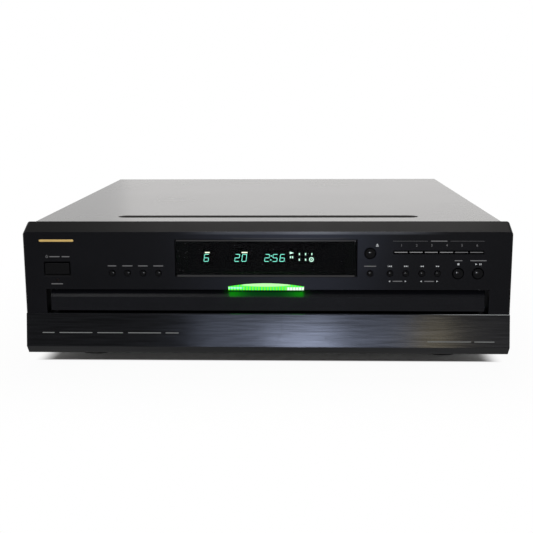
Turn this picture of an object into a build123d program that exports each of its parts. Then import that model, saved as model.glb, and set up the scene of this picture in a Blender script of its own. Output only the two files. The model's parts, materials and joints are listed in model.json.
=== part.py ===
"""Full-width six-disc carousel changer, built from its loose pieces.

Millimetres. X runs to the right of someone facing the machine, Y runs from its front to its
back, Z is up. The origin is on the table, under the middle of the whole outline.
The sizes are worked out from the inside to the outside: disc, pocket, carousel, tray, slides,
chassis, cover, front panel.
"""

import os
from math import acos, cos, hypot, pi, radians, sin, tan

from build123d import *

# Discs and the carousel that carries them
disc_count = 6
disc_radius = 60.0
disc_clearance = 0.8
pocket_ring_radius = 123.0
small_disc_radius = 40.0
carousel_rim = 2.2
pocket_depth = 3.2
small_pocket_depth = 0.8
pocket_floor = 2.0
window_width = 46.0
window_outside = 20.0
window_inside = 69.0
window_corner = 6.0

# Gear on the underside of the carousel and the wheel that drives it
ring_module = 3.0
ring_teeth = 110
ring_height = 3.6
ring_web = 5.0
drive_teeth = 25
drive_angle = 225.0
backlash = 0.35
drive_gear_gap = 0.5
drive_boss_radius = 5.0
gear_holes = 6
gear_hole_radius = 7.5
pressure_angle = 20.0
tooth_rise = 0.95
tooth_sink = 1.2

# Clearances shared by many fits
running_clearance = 0.06
slide_clearance = 0.3
seat_clearance = 0.2

# Tray that carries the carousel
tray_gap = 1.5
tray_wall = 2.5
tray_lip = 11.5
tray_rear_lip = 6.0
deck_thickness = 1.8
ring_room = 1.2
tongue_reach = 4.3
tongue_height = 3.0
tongue_rise = 6.0
post_radius = 8.0
post_shoulder = 6.0
hub_rise = 2.2
bearing_gap = 0.1
hub_radius = 24.0
cap_radius = 14.0
cap_height = 1.9
cap_peg_radius = 3.0
cap_peg_length = 5.0
rim_edge = 0.6
deck_cover_thickness = 1.6
deck_cover_gap = 1.0
tray_travel = 240.0
notch_half_width = 56.0
notch_inside = 85.0

# Rack under the tray and the gear that moves it
rack_module = 1.5
rack_height = 3.2
rack_inset = 6.0
rack_margin = 15.0
loading_teeth = 20
loading_gear_offset = 60.0
loading_gear_height = 2.6

# Tray front and the slot that it closes
tray_front_thickness = 6.0
tray_front_recess = 0.5
tray_front_bevel_height = 5.5
tray_front_bevel_depth = 4.5
tray_front_margin = 1.2
tray_front_overlap = 0.5
slot_side_gap = 3.7
slot_top_gap = 1.3
slot_bottom_gap = 1.3

# Slides beside the tray
guide_ledge = 3.0
guide_web = 3.0
guide_foot = 9.0
guide_tail = 8.0

# Case
foot_height = 12.5
sheet = 1.2
cover_sheet = 1.0
mechanism_room = 35.8
head_room = 59.5
bridge_room = 1.2
flange_room = 8.0
cover_gap = 1.5
panel_overhang = 7.0
rear_room = 21.0
jack_reach = 6.8
chassis_flange_height = 28.0
chassis_rear_lip = 4.8
vent_length = 40.0
vent_width = 3.0
vent_pitch = 8.0
vent_columns = 10
vent_rows = 2
vent_y = 20.0
cover_bend_radius = 1.5

# Front panel moulding
panel_wall = 3.0
panel_depth = 22.0
bevel_depth = 15.6
bevel_drop = 7.3
panel_edge_chamfer = 1.2
panel_corner_radius = 3.0
panel_rib = 1.5
panel_reveal = 1.2
panel_post_gap = 6.0
panel_post_low = 6.5
panel_post_high = 11.0

# Leaning metal trim under the tray
trim_lean = 5.0
trim_stand_out = 0.5
trim_sheet = 1.6
trim_break_rise = 7.4
trim_tuck = 6.0
trim_base_gap = 0.2
trim_edge = 0.4

# Display window, and the tube behind it
display_width = 161.0
display_height = 30.0
display_rise = 13.5
display_slope_top = 2.6
display_slope_side = 1.0
display_flange = 2.5
display_thickness = 2.8
tube_margin = 10.5
tube_height = 26.0
tube_depth = 8.4
tube_corner = 1.5
tube_tip_radius = 1.5
tube_tip_length = 3.0

# Lit lens over the tray
lens_width = 67.4
lens_end_height = 2.6
lens_crown = 2.9
lens_stand_out = 2.0
lens_depth = 8.0
lens_slot_gap = 0.3
lens_flange = 3.0

# Keys: a place across the panel and a height above the tray slot
low_row_rise = 14.9
high_row_rise = 33.0
small_key_radius = 2.5
large_key_radius = 4.4
key_stand_out = 1.0
small_key_dish = 0.3
large_key_dish = 0.8
key_flange = 1.2
key_flange_thickness = 1.0
key_stem_radius = 1.5
key_edge = 0.4
# Radius of a round key's domed front, as a share of its own radius
key_dome = 2.6
bar_stand_out = 0.5
small_key_travel = 0.8
large_key_travel = 1.0
power_key_travel = 1.6
power_key_x = -187.6
power_key_width = 22.2
power_key_height = 9.9
power_key_rise = 18.8
power_slope_top = 2.2
power_slope_side = 1.1
bar_key_width = 12.4
bar_key_height = 2.6
bar_key_pitch = 13.25
bar_keys_x = 152.7
bar_keys_rise = 34.0
small_keys = {
    "repeat_button": -138.0,
    "random_button": -124.1,
    "dimmer_button": -110.2,
    "display_button": -96.4,
    "disc_skip_button": 92.5,
    "track_back_button": 110.2,
    "track_forward_button": 124.1,
    "search_back_button": 138.3,
    "search_forward_button": 152.2,
}
large_keys = {"stop_button": 170.3, "play_button": 187.8}
open_key_x = 92.5

# Circuit boards and switches
board_thickness = 1.6
panel_board_depth = 14.0
board_side_room = 3.0
board_head_room = 3.0
ribbon_x = 60.0
ribbon_rise = 12.0
ribbon_width = 40.0
ribbon_depth = 5.0
ribbon_height = 6.0
switch_size = 5.0
switch_height = 3.2
switch_gap = 0.1
led_radius = 1.5
lamp_count = 4
lamp_pitch = 15.0
lamp_rise = 3.4
standby_led_radius = 1.0
standby_led_rise = 8.6
standoff_radius = 3.0
main_board_rise = 6.3
main_board_width = 108.0
main_board_length = 250.0
main_board_x = 128.0
main_board_edge = 6.0
chip_height = 2.5
chips = (
    (20.0, 60.0, 18.0, 18.0),
    (-30.0, 70.0, 14.0, 20.0),
    (10.0, 130.0, 22.0, 12.0),
    (-20.0, 180.0, 16.0, 8.0),
)
capacitors = (
    (-40.0, 220.0, 6.5, 24.0),
    (-22.0, 216.0, 5.0, 18.0),
    (38.0, 150.0, 4.0, 12.0),
    (24.0, 170.0, 4.0, 12.0),
    (-10.0, 30.0, 3.2, 9.0),
    (30.0, 40.0, 3.2, 9.0),
)
sink_fins = 6
sink_pitch = 6.0
sink_depth = 14.0
sink_height = 24.0

# Rear connectors
jack_radius = 4.15
jack_wall = 0.95
jack_bore_radius = 1.7
jack_ring_radius = 6.5
jack_ring_thickness = 1.0
jack_block = 12.5
jack_leg = 6.0
jack_rise = 9.4
phono_places = {"right": 150.0, "left": 166.0, "coaxial": 86.0}
socket_block = 11.0
socket_opening = 8.4
socket_depth = 8.0
optical_x = 104.0
remote_places = (124.0, 134.0)
remote_radius = 1.8
remote_block = 9.0
remote_depth = 10.0
gland_x = -170.0
gland_rise = 20.0
gland_radius = 6.5
gland_flange_radius = 9.0
gland_bore_radius = 3.6
gland_length = 12.0
gland_stand_out = 4.0

# Feet
foot_radius = 22.0
foot_taper = 2.0
foot_edge = 1.0
foot_screw_z = 8.0
foot_x = 165.0
foot_front_inset = 60.0
foot_rear_inset = 58.0

# Screws
screw_radius = 1.5
screw_head_radius = 3.0
screw_head_height = 2.0
screw_length = 6.0
sheet_screw_length = 3.5
cover_screw_spread = 120.0
cover_screw_z = 30.0
cover_rear_screw_z = 125.0
cover_tail = 5.0
rear_screw_z = 16.3
rear_screw_places = (-140.0, 0.0, 140.0)
bridge_foot_x = 203.5
bridge_screw_spread = 12.0
screw_recess_length = 3.6
screw_recess_width = 0.9
screw_recess_depth = 1.2

# Playing unit that rises under the rear pocket
lift_travel = 17.5
seat_lift = 2.4
hub_nose_height = 3.5
hub_nose_radius = 7.3
hub_flange_radius = 15.0
hub_flange_height = 3.0
hub_boss_radius = 5.0
hub_boss_gap = 0.3
hub_nose_taper = 20.0
shaft_radius = 1.0
motor_radius = 12.0
motor_height = 11.5
motor_edge = 0.6
pickup_plate = 2.5
pickup_plate_drop = 11.0
pickup_half_width = 46.0
pickup_rear = 32.0
pickup_front = 84.0
rod_radius = 1.5
rod_spread = 21.0
rod_rise = 3.5
rod_block_inset = 3.5
rod_block_half = 4.5
rod_cover = 1.1
rod_block_depth = 5.0
rod_overrun = 4.0
sled_height = 5.0
sled_length = 24.0
sled_start = 17.0
sled_travel = 34.0
sled_rise = 1.0
lens_block_width = 16.0
lens_block_length = 14.0
lens_inset = 8.5
disc_to_lens = 1.2
lens_radius = 3.0
lens_rim = 0.6
guide_post_radius = 2.5
guide_post_x = 39.0
guide_post_front = 74.0
guide_post_rear = 22.0
guide_boss_radius = 5.0
guide_boss_length = 17.5
base_plate = 2.0
base_margin = 8.0

# Sliding cam that raises the playing unit
cam_thickness = 2.5
cam_height = 28.0
cam_half_length = 52.0
cam_pin_radius = 2.0
cam_pin_spread = 25.0
cam_pin_setback = 0.2
cam_gap = 0.4
cam_slot_run = 3.0
cam_slot_clearance = 0.15
cam_wall = 1.6
cam_wall_length = 16.0
cam_wall_height = 12.0
lift_module = 1.0
lift_teeth = 16
lift_gear_height = 3.0
lift_rack_margin = 9.0
lift_rack_rise = 1.0
rack_strip = 1.6
lift_motor_radius = 7.0
lift_motor_height = 16.0
shelf_gap = 1.0
shelf_front = 12.0
shelf_post_x = 15.0

# Bridge and magnetic clamp over the playing position
bridge_rise = 5.0
bridge_width = 44.0
bridge_rib = 5.0
clamp_gap = 0.3
disc_thickness = 1.2
clamp_radius = 14.0
clamp_height = 4.5
clamp_recess_radius = 9.0
clamp_recess_height = 3.4
clamp_neck_radius = 11.0
clamp_cap_radius = 15.0
clamp_cap_height = 2.0

# Motors and belt
drive_plate_rise = 16.3
motor_pulley_radius = 4.5
belt_pulley_radius = 16.0
belt_thickness = 1.2
belt_width = 3.0
pulley_width = 5.0
pulley_rise = 4.8
pulley_flange = 1.4
belt_gap = 0.2
gear_hub_radius = 4.0
plate_margin = 19.0
loading_motor_dx = 33.0
loading_motor_dy = 18.0
loading_motor_radius = 12.0
loading_motor_height = 15.0
axle_radius = 2.0
carousel_motor_radius = 12.0
carousel_motor_height = 5.4

# Mains transformer
core_width = 57.0
core_stack = 24.0
core_height = 34.0
core_leg = 9.5
core_tab = 8.0
coil_gap = 0.3
coil_overhang = 10.0
coil_corner = 3.0
transformer_x = -150.0
transformer_inset = 80.0

# Pressed groove in the cover
bead_length = 281.0
bead_width = 16.0
bead_depth = 2.4
bead_inset = 48.0

# Worked out across the machine
pocket_radius = disc_radius + disc_clearance
carousel_radius = pocket_ring_radius + pocket_radius + carousel_rim
tray_inner_half = carousel_radius + tray_gap
tray_half = tray_inner_half + tray_wall
tongue_tip = tray_half + tongue_reach
tray_front_half = tongue_tip + tray_front_overlap
slot_half = tray_front_half + slot_side_gap
guide_web_x = tongue_tip + slide_clearance
guide_outer_x = guide_web_x + guide_web
bridge_leg_x = guide_outer_x + bridge_room
chassis_half = bridge_leg_x + sheet + flange_room
cover_inner_half = chassis_half + cover_gap
cover_half = cover_inner_half + cover_sheet
half_width = cover_half + panel_overhang
board_half = chassis_half - board_side_room

# Worked out from front to back
case_length = (
    tray_front_recess + tray_front_thickness + tray_lip + 2 * carousel_radius + tray_rear_lip + rear_room
)
depth = trim_lean + case_length + sheet + jack_reach
lip_y = -depth / 2
face_y = lip_y + trim_lean
tray_face_y = face_y + tray_front_recess
tray_end_y = tray_face_y + tray_front_thickness
carousel_y = tray_end_y + tray_lip + carousel_radius
tray_rear_y = carousel_y + carousel_radius + tray_rear_lip
panel_inner_y = face_y + panel_wall
panel_back_y = face_y + panel_depth
bevel_back_y = face_y + bevel_depth
chassis_front_y = panel_back_y + seat_clearance
rear_inner_y = face_y + case_length
rear_face_y = rear_inner_y + sheet
chassis_rear_y = rear_inner_y - seat_clearance
cover_rear_y = rear_face_y + seat_clearance + cover_sheet
board_y = face_y + panel_board_depth
lens_rear_y = face_y - lens_stand_out + lens_depth
spindle_y = carousel_y + pocket_ring_radius

# Worked out from the table up
floor_z = foot_height + sheet
slot_bottom_z = floor_z + mechanism_room
tray_bottom_z = slot_bottom_z + slot_bottom_gap
deck_z = tray_bottom_z + rack_height
deck_top_z = deck_z + deck_thickness
ring_z = deck_top_z + ring_room
platter_z = ring_z + ring_height
pocket_floor_z = platter_z + pocket_floor
platter_top_z = pocket_floor_z + pocket_depth
hub_top_z = platter_top_z + hub_rise
post_top_z = hub_top_z + slide_clearance
deck_cover_top_z = post_top_z + cap_height - seat_clearance
deck_cover_z = deck_cover_top_z - deck_cover_thickness
slot_top_z = deck_cover_top_z + slot_top_gap + seat_clearance
height = slot_top_z + head_room
cover_under_z = height - cover_sheet
panel_top_z = cover_under_z - seat_clearance
bevel_z = height - bevel_drop
base_z = foot_height - trim_base_gap
trim_break_z = base_z + trim_break_rise
tongue_z = deck_z + tongue_rise

# Playing unit heights, when it is down
disc_seat_z = pocket_floor_z + seat_lift - lift_travel
hub_under_z = disc_seat_z - hub_flange_height
pickup_top_z = disc_seat_z - pickup_plate_drop
pickup_under_z = pickup_top_z - pickup_plate
rod_z = pickup_top_z + rod_rise
sled_z = pickup_top_z + sled_rise
lens_top_z = disc_seat_z - disc_to_lens
bridge_z = slot_top_z + bridge_rise
clamp_z = disc_seat_z + lift_travel + disc_thickness + clamp_gap

# Gear places
ring_pitch_radius = ring_module * ring_teeth / 2
drive_pitch_radius = ring_module * drive_teeth / 2
drive_distance = ring_pitch_radius + drive_pitch_radius
drive_x = drive_distance * cos(radians(drive_angle))
drive_y = carousel_y + drive_distance * sin(radians(drive_angle))
loading_pitch_radius = rack_module * loading_teeth / 2
rack_x = -tray_inner_half + rack_inset
loading_x = rack_x + loading_pitch_radius
loading_y = face_y + loading_gear_offset
motor_x = loading_x + loading_motor_dx
motor_y = loading_y + loading_motor_dy
drive_plate_z = floor_z + drive_plate_rise
pulley_z = drive_plate_z + sheet + pulley_rise

PARTS = "parts"
os.makedirs(PARTS, exist_ok=True)


def keep(part, name):
    """Label a finished piece and write it as its own file."""
    part.label = name
    export_step(part, f"{PARTS}/{name}.step")


def box_between(low, high, mode=Mode.ADD):
    """A block between two opposite corners."""
    sizes = [b - a for a, b in zip(low, high)]
    middle = [(a + b) / 2 for a, b in zip(low, high)]
    with Locations(tuple(middle)):
        Box(*sizes, mode=mode)


def rod_up(x, y, low, high, radius, mode=Mode.ADD):
    """An upright cylinder."""
    with Locations((x, y, (low + high) / 2)):
        Cylinder(radius, high - low, mode=mode)


def rod_back(x, z, front, back, radius, mode=Mode.ADD):
    """A cylinder that runs from front to back."""
    with Locations((x, (front + back) / 2, z)):
        Cylinder(radius, back - front, rotation=(90, 0, 0), mode=mode)


def involute(angle):
    """The involute function of a pressure angle."""
    return tan(angle) - angle


def gear_outline(teeth, module, phase=0.0, flank_steps=2):
    """Points of a spur gear's outline, with one tooth centred at the phase angle in degrees."""
    pressure = radians(pressure_angle)
    pitch = module * teeth / 2
    base = pitch * cos(pressure)
    tip = pitch + tooth_rise * module
    root = pitch - tooth_sink * module
    half_tooth = (pi * module / 2 - backlash) / 2 / pitch
    flank = []
    for step in range(flank_steps + 1):
        radius = max(base, root) + (tip - max(base, root)) * step / flank_steps
        turn = half_tooth + involute(pressure) - involute(acos(min(1.0, base / radius)))
        flank.append((radius if step else root, turn))
    points = []
    for tooth in range(teeth):
        middle = radians(phase) + 2 * pi * tooth / teeth
        points += [(r * cos(middle - a), r * sin(middle - a)) for r, a in flank]
        points += [(r * cos(middle + a), r * sin(middle + a)) for r, a in reversed(flank)]
    return points


def side_profile(points):
    """A face in the side view, from (y, z) points, for a sketch on Plane.YZ."""
    Polygon(*points, align=None)


def place(x, y, z):
    """A level plane through a point."""
    return Plane(origin=(x, y, z), x_dir=(1, 0, 0), z_dir=(0, 0, 1))


def box_pair(low, high, mode=Mode.ADD):
    """A block on the right and the same block on the left."""
    box_between(low, high, mode)
    box_between((-high[0], low[1], low[2]), (-low[0], high[1], high[2]), mode)


def screw(point, direction, length=screw_length):
    """A cross recess screw whose head stands on a point, with its thread along the direction."""
    on_top = (Align.CENTER, Align.CENTER, Align.MAX)
    with Locations(Plane(origin=point, z_dir=direction)):
        Cylinder(screw_radius, length, align=(Align.CENTER, Align.CENTER, Align.MIN))
        Cylinder(screw_head_radius, screw_head_height, align=on_top)
        with Locations((0, 0, screw_recess_depth - screw_head_height)):
            for long, wide in (
                (screw_recess_length, screw_recess_width),
                (screw_recess_width, screw_recess_length),
            ):
                Box(long, wide, screw_recess_depth, align=on_top, mode=Mode.SUBTRACT)


def screw_bore(point, direction, length=screw_length):
    """The bore that a screw's thread fills, with room at its end."""
    with Locations(Plane(origin=point, z_dir=direction)):
        Cylinder(
            screw_radius + running_clearance,
            length + slide_clearance,
            align=(Align.CENTER, Align.CENTER, Align.MIN),
            mode=Mode.SUBTRACT,
        )


def rack_outline(module, first, last, back):
    """Points of a straight rack along local X, its pitch line on local Y = 0, gap centred at 0."""
    pitch = pi * module
    half_tooth = (pitch / 2 - backlash) / 2
    lean = tan(radians(pressure_angle))
    tip = tooth_rise * module
    root = tooth_sink * module
    points = [(first * pitch, -back), (first * pitch, -root)]
    for tooth in range(first, last):
        middle = (tooth + 0.5) * pitch
        points.append((middle - half_tooth - lean * root, -root))
        points.append((middle - half_tooth + lean * tip, tip))
        points.append((middle + half_tooth - lean * tip, tip))
        points.append((middle + half_tooth + lean * root, -root))
    points += [(last * pitch, -root), (last * pitch, -back)]
    return points


# Bottom chassis, one folded sheet
jack_z = floor_z + main_board_rise + board_thickness + jack_rise
board_rear_y = rear_inner_y - seat_clearance
main_board_z = floor_z + main_board_rise
main_board_corners = [
    (main_board_x + sx * (main_board_width / 2 - main_board_edge), board_rear_y - offset)
    for sx in (-1, 1)
    for offset in (main_board_edge + chassis_rear_lip, main_board_length - main_board_edge)
]
foot_places = [
    (sx * foot_x, y)
    for sx in (-1, 1)
    for y in (face_y + foot_front_inset, rear_inner_y - foot_rear_inset)
]
cover_screw_places = [(sx, y) for sx in (-1, 1) for y in (-cover_screw_spread, cover_screw_spread)]
bridge_screw_places = [
    (sx * bridge_foot_x, spindle_y + sy * bridge_screw_spread) for sx in (-1, 1) for sy in (-1, 1)
]

with BuildPart() as bottom_chassis:
    box_between((-chassis_half, chassis_front_y, foot_height), (chassis_half, chassis_rear_y, floor_z))
    box_pair(
        (chassis_half - sheet, chassis_front_y, foot_height),
        (chassis_half, chassis_rear_y, foot_height + chassis_flange_height),
    )
    box_between(
        (-chassis_half, chassis_front_y, foot_height),
        (chassis_half, chassis_front_y + sheet, foot_height + chassis_flange_height),
    )
    box_between(
        (-chassis_half, chassis_rear_y - sheet, foot_height),
        (chassis_half, chassis_rear_y, floor_z + chassis_rear_lip),
    )
    for x, y in main_board_corners:
        rod_up(x, y, floor_z, main_board_z, standoff_radius)
        screw_bore((x, y, main_board_z + board_thickness), (0, 0, -1))
    for sx, y in cover_screw_places:
        screw_bore((sx * cover_half, y, cover_screw_z), (-sx, 0, 0))
    for x, y in foot_places:
        screw_bore((x, y, foot_screw_z), (0, 0, 1))
    for x, y in bridge_screw_places:
        screw_bore((x, y, floor_z + sheet), (0, 0, -1), sheet_screw_length)
    for x in rear_screw_places:
        screw_bore((x, rear_face_y, rear_screw_z), (0, -1, 0), sheet_screw_length)
    with BuildSketch(place(main_board_x, vent_y, foot_height)):
        with GridLocations(vent_pitch, vent_length + vent_pitch, vent_columns, vent_rows):
            SlotOverall(vent_length, vent_width, rotation=90)
    extrude(amount=sheet, mode=Mode.SUBTRACT)
keep(bottom_chassis.part, "bottom_chassis")

# Rear panel, with the holes of its connectors
gland_z = floor_z + gland_rise
jack_places = [(x, jack_z) for x in phono_places.values()]
with BuildPart() as rear_panel:
    box_between(
        (-cover_inner_half + seat_clearance, rear_inner_y, foot_height),
        (cover_inner_half - seat_clearance, rear_face_y, cover_under_z - seat_clearance),
    )
    for x, z in jack_places:
        rod_back(x, z, rear_inner_y, rear_face_y, jack_radius + jack_wall, Mode.SUBTRACT)
    box_between(
        (optical_x - socket_block / 2, rear_inner_y, jack_z - socket_block / 2),
        (optical_x + socket_block / 2, rear_face_y, jack_z + socket_block / 2),
        Mode.SUBTRACT,
    )
    for x in remote_places:
        rod_back(x, jack_z, rear_inner_y, rear_face_y, remote_block / 2, Mode.SUBTRACT)
    rod_back(gland_x, gland_z, rear_inner_y, rear_face_y, gland_radius + running_clearance, Mode.SUBTRACT)
    for x in rear_screw_places:
        screw_bore((x, rear_face_y, rear_screw_z), (0, -1, 0), sheet_screw_length)
        screw_bore((x, cover_rear_y, cover_rear_screw_z), (0, -1, 0), sheet_screw_length)
keep(rear_panel.part, "rear_panel")

# Top cover, a folded sheet with a pressed groove and a turned down rear edge
cover_front_y = bevel_back_y + seat_clearance
cover_base_z = foot_height + seat_clearance
bead_y = face_y + bead_inset
with BuildPart() as top_cover:
    with BuildSketch(Plane.XZ.offset(-cover_rear_y)):
        with Locations((0, (cover_base_z + height) / 2)):
            Rectangle(2 * cover_half, height - cover_base_z)
        with Locations((0, (cover_base_z + cover_under_z) / 2)):
            Rectangle(2 * cover_inner_half, cover_under_z - cover_base_z, mode=Mode.SUBTRACT)
        fillet(vertices().group_by(Axis.Y)[-1], cover_bend_radius)
        fillet(vertices().group_by(Axis.Y)[-2], cover_bend_radius - cover_sheet)
    extrude(amount=cover_rear_y - cover_front_y)
    box_between(
        (-chassis_half, cover_rear_y - cover_sheet, cover_rear_screw_z - cover_tail),
        (chassis_half, cover_rear_y, cover_under_z),
    )
    with BuildSketch(place(0, bead_y, cover_under_z - bead_depth)):
        SlotOverall(bead_length, bead_width)
    extrude(amount=bead_depth)
    with BuildSketch(place(0, bead_y, height)):
        SlotOverall(bead_length - cover_sheet, bead_width - cover_sheet)
    extrude(amount=-bead_depth, mode=Mode.SUBTRACT)
    for sx, y in cover_screw_places:
        screw_bore((sx * cover_half, y, cover_screw_z), (-sx, 0, 0))
    for x in rear_screw_places:
        screw_bore((x, cover_rear_y, cover_rear_screw_z), (0, -1, 0), sheet_screw_length)
keep(top_cover.part, "top_cover")

# Leaning metal trim below the tray
trim_top_z = slot_bottom_z - slide_clearance
trim_line = [
    (face_y - trim_stand_out, trim_top_z),
    (lip_y, trim_break_z),
    (lip_y + trim_tuck, base_z),
]
trim_thick_y = trim_sheet * hypot(trim_tuck, trim_break_rise) / trim_break_rise


def trim_shifted(shift):
    """The trim's front line moved back, from its top to its base."""
    return [(y + shift, z) for y, z in trim_line]


with BuildPart() as lower_trim:
    with BuildSketch(Plane.YZ):
        side_profile(trim_line + trim_shifted(trim_thick_y)[::-1])
    extrude(amount=half_width, both=True)
    chamfer(lower_trim.edges().filter_by(Axis.X).sort_by(Axis.Z)[-2:].sort_by(Axis.Y)[0], trim_edge)
keep(lower_trim.part, "lower_trim")

# Front panel moulding: key places first
low_row_z = slot_top_z + low_row_rise
high_row_z = slot_top_z + high_row_rise
bar_z = slot_top_z + bar_keys_rise
power_z = slot_top_z + power_key_rise
led_z = slot_top_z + standby_led_rise
display_low_z = slot_top_z + display_rise
display_z = display_low_z + display_height / 2
small_round = (small_key_radius, small_key_dish, small_key_travel)
large_round = (large_key_radius, large_key_dish, large_key_travel)
round_keys = [(name, x, low_row_z, *small_round) for name, x in small_keys.items()]
round_keys += [(name, x, low_row_z, *large_round) for name, x in large_keys.items()]
round_keys.append(("open_close_button", open_key_x, high_row_z, *large_round))
bar_keys = [
    (f"disc_{number + 1}_button", bar_keys_x + (number - (disc_count - 1) / 2) * bar_key_pitch)
    for number in range(disc_count)
]
bar_slot_half = disc_count * bar_key_pitch / 2
sloped_openings = [
    (0, display_z, display_width, display_height, display_slope_side, display_slope_top),
    (power_key_x, power_z, power_key_width, power_key_height, power_slope_side, power_slope_top),
]
panel_post_places = [
    (sx * x, z)
    for sx in (-1, 1)
    for x in (display_width / 2 + panel_post_gap, chassis_half - panel_post_gap)
    for z in (slot_top_z + panel_post_low, cover_under_z - panel_post_high)
]
moulding_shift = trim_thick_y + seat_clearance
hollow_top_z = panel_top_z - panel_wall
trim_ledge_y = trim_shifted(moulding_shift)[0][0]
board_low_z = slot_top_z + panel_rib + slide_clearance
board_high_z = hollow_top_z - board_head_room
shelf_half = slot_half + panel_rib

with BuildPart() as front_panel:
    with BuildSketch(Plane.YZ):
        side_profile(
            trim_shifted(moulding_shift)[::-1]
            + [
                (face_y, trim_top_z),
                (face_y, bevel_z),
                (bevel_back_y, height),
                (bevel_back_y, panel_top_z),
                (panel_back_y, panel_top_z),
                (panel_back_y, base_z),
            ]
        )
    extrude(amount=half_width, both=True)
    chamfer(front_panel.edges().filter_by(Axis.Z).group_by(Axis.Y)[0], panel_edge_chamfer)
    bevel_ends = front_panel.edges().filter_by(
        lambda edge: abs(edge.center().X) > half_width - panel_edge_chamfer and edge.center().Z > bevel_z + 1
    )
    fillet(bevel_ends.filter_by(lambda edge: edge.center().Y < bevel_back_y), panel_corner_radius)
    with BuildSketch(Plane.YZ):
        side_profile(
            [
                (trim_ledge_y + panel_wall - trim_lean, trim_break_z),
                (trim_ledge_y + panel_wall, slot_bottom_z - panel_rib),
                (panel_inner_y, slot_bottom_z),
                (panel_inner_y, bevel_z - panel_rib),
                (bevel_back_y - panel_rib, hollow_top_z),
                (panel_back_y, hollow_top_z),
                (panel_back_y, base_z + panel_wall),
                (trim_ledge_y + panel_wall - trim_lean + trim_tuck, base_z + panel_wall),
            ]
        )
    extrude(amount=cover_inner_half - seat_clearance - panel_wall, both=True, mode=Mode.SUBTRACT)
    box_pair(
        (cover_inner_half - seat_clearance, bevel_back_y, 0),
        (half_width, panel_back_y, height),
        Mode.SUBTRACT,
    )
    box_between(
        (-shelf_half, panel_inner_y, slot_bottom_z - panel_rib),
        (shelf_half, panel_back_y, slot_top_z + panel_rib),
    )
    box_between((-slot_half, lip_y, slot_bottom_z), (slot_half, panel_back_y, slot_top_z), Mode.SUBTRACT)
    for x, z in panel_post_places:
        rod_back(x, z, panel_inner_y, board_y, standoff_radius)
        screw_bore((x, board_y + board_thickness, z), (0, -1, 0))
    with Locations((0, face_y, display_z)):
        Box(display_width, 2 * panel_wall, display_height, mode=Mode.SUBTRACT)
    box_between(
        (-bar_slot_half + bar_keys_x, face_y, bar_z - bar_key_height / 2 - slide_clearance),
        (bar_slot_half + bar_keys_x, panel_inner_y, bar_z + bar_key_height / 2 + slide_clearance),
        Mode.SUBTRACT,
    )
    for name, x, z, radius, dish, travel in round_keys:
        rod_back(x, z, face_y, panel_inner_y, radius + slide_clearance, Mode.SUBTRACT)
        with Locations((x, face_y + dish / 2, z)):
            Cone(
                radius + slide_clearance,
                radius + slide_clearance + dish,
                dish,
                rotation=(90, 0, 0),
                mode=Mode.SUBTRACT,
            )
    with Locations((power_key_x, (face_y + panel_inner_y) / 2, power_z)):
        Box(
            power_key_width + 2 * slide_clearance,
            panel_wall,
            power_key_height + 2 * slide_clearance,
            mode=Mode.SUBTRACT,
        )
    for x, z, width, height, slope_side, slope_top in sloped_openings:
        with BuildSketch(Plane.XZ.offset(-face_y)):
            with Locations((x, z)):
                Rectangle(width + 2 * slope_side, height + 2 * slope_top)
        with BuildSketch(Plane.XZ.offset(-face_y - panel_reveal)):
            with Locations((x, z)):
                Rectangle(width, height)
        loft(mode=Mode.SUBTRACT)
    rod_back(power_key_x, led_z, face_y, panel_inner_y, standby_led_radius + slide_clearance, Mode.SUBTRACT)
    box_between(
        (-lens_width / 2 - lens_flange - slide_clearance, panel_inner_y, slot_bottom_z),
        (lens_width / 2 + lens_flange + slide_clearance, panel_back_y, slot_top_z + panel_rib),
        Mode.SUBTRACT,
    )
    box_between(
        (-shelf_half, panel_inner_y, slot_bottom_z - panel_rib),
        (shelf_half, panel_back_y, slot_bottom_z),
    )
    with BuildSketch(Plane.XZ.offset(-face_y)):
        with BuildLine():
            lens_end_z = slot_top_z + lens_end_height + lens_slot_gap
            half_notch = lens_width / 2 + lens_slot_gap
            ThreePointArc(
                (-half_notch, lens_end_z), (0, lens_end_z + lens_crown), (half_notch, lens_end_z)
            )
            Polyline(
                (half_notch, lens_end_z),
                (half_notch, slot_bottom_z),
                (-half_notch, slot_bottom_z),
                (-half_notch, lens_end_z),
            )
        make_face()
    extrude(amount=-panel_wall, mode=Mode.SUBTRACT)
keep(front_panel.part, "front_panel")

# Smoked display window, held by a rim behind the panel
window_rear_y = face_y + panel_reveal + display_thickness
with BuildPart() as display_window:
    with Locations((0, (face_y + panel_reveal + window_rear_y) / 2, display_z)):
        Box(display_width - 2 * seat_clearance, display_thickness, display_height - 2 * seat_clearance)
    rim_front_y = panel_inner_y + seat_clearance
    with Locations((0, (rim_front_y + window_rear_y) / 2, display_z)):
        Box(
            display_width + 2 * display_flange,
            window_rear_y - rim_front_y,
            display_height + 2 * display_flange,
        )
keep(display_window.part, "display_window")

# Glass display tube on the front board
with BuildPart() as display_tube:
    with Locations((0, board_y - tube_depth / 2, display_z)):
        Box(display_width - 2 * tube_margin, tube_depth, tube_height)
    fillet(display_tube.edges().filter_by(Axis.Y), tube_corner)
    with Locations((display_width / 2 - tube_margin, board_y - tube_depth / 2, display_z)):
        Cylinder(tube_tip_radius, 2 * tube_tip_length, rotation=(0, 90, 0))
keep(display_tube.part, "display_tube")

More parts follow.
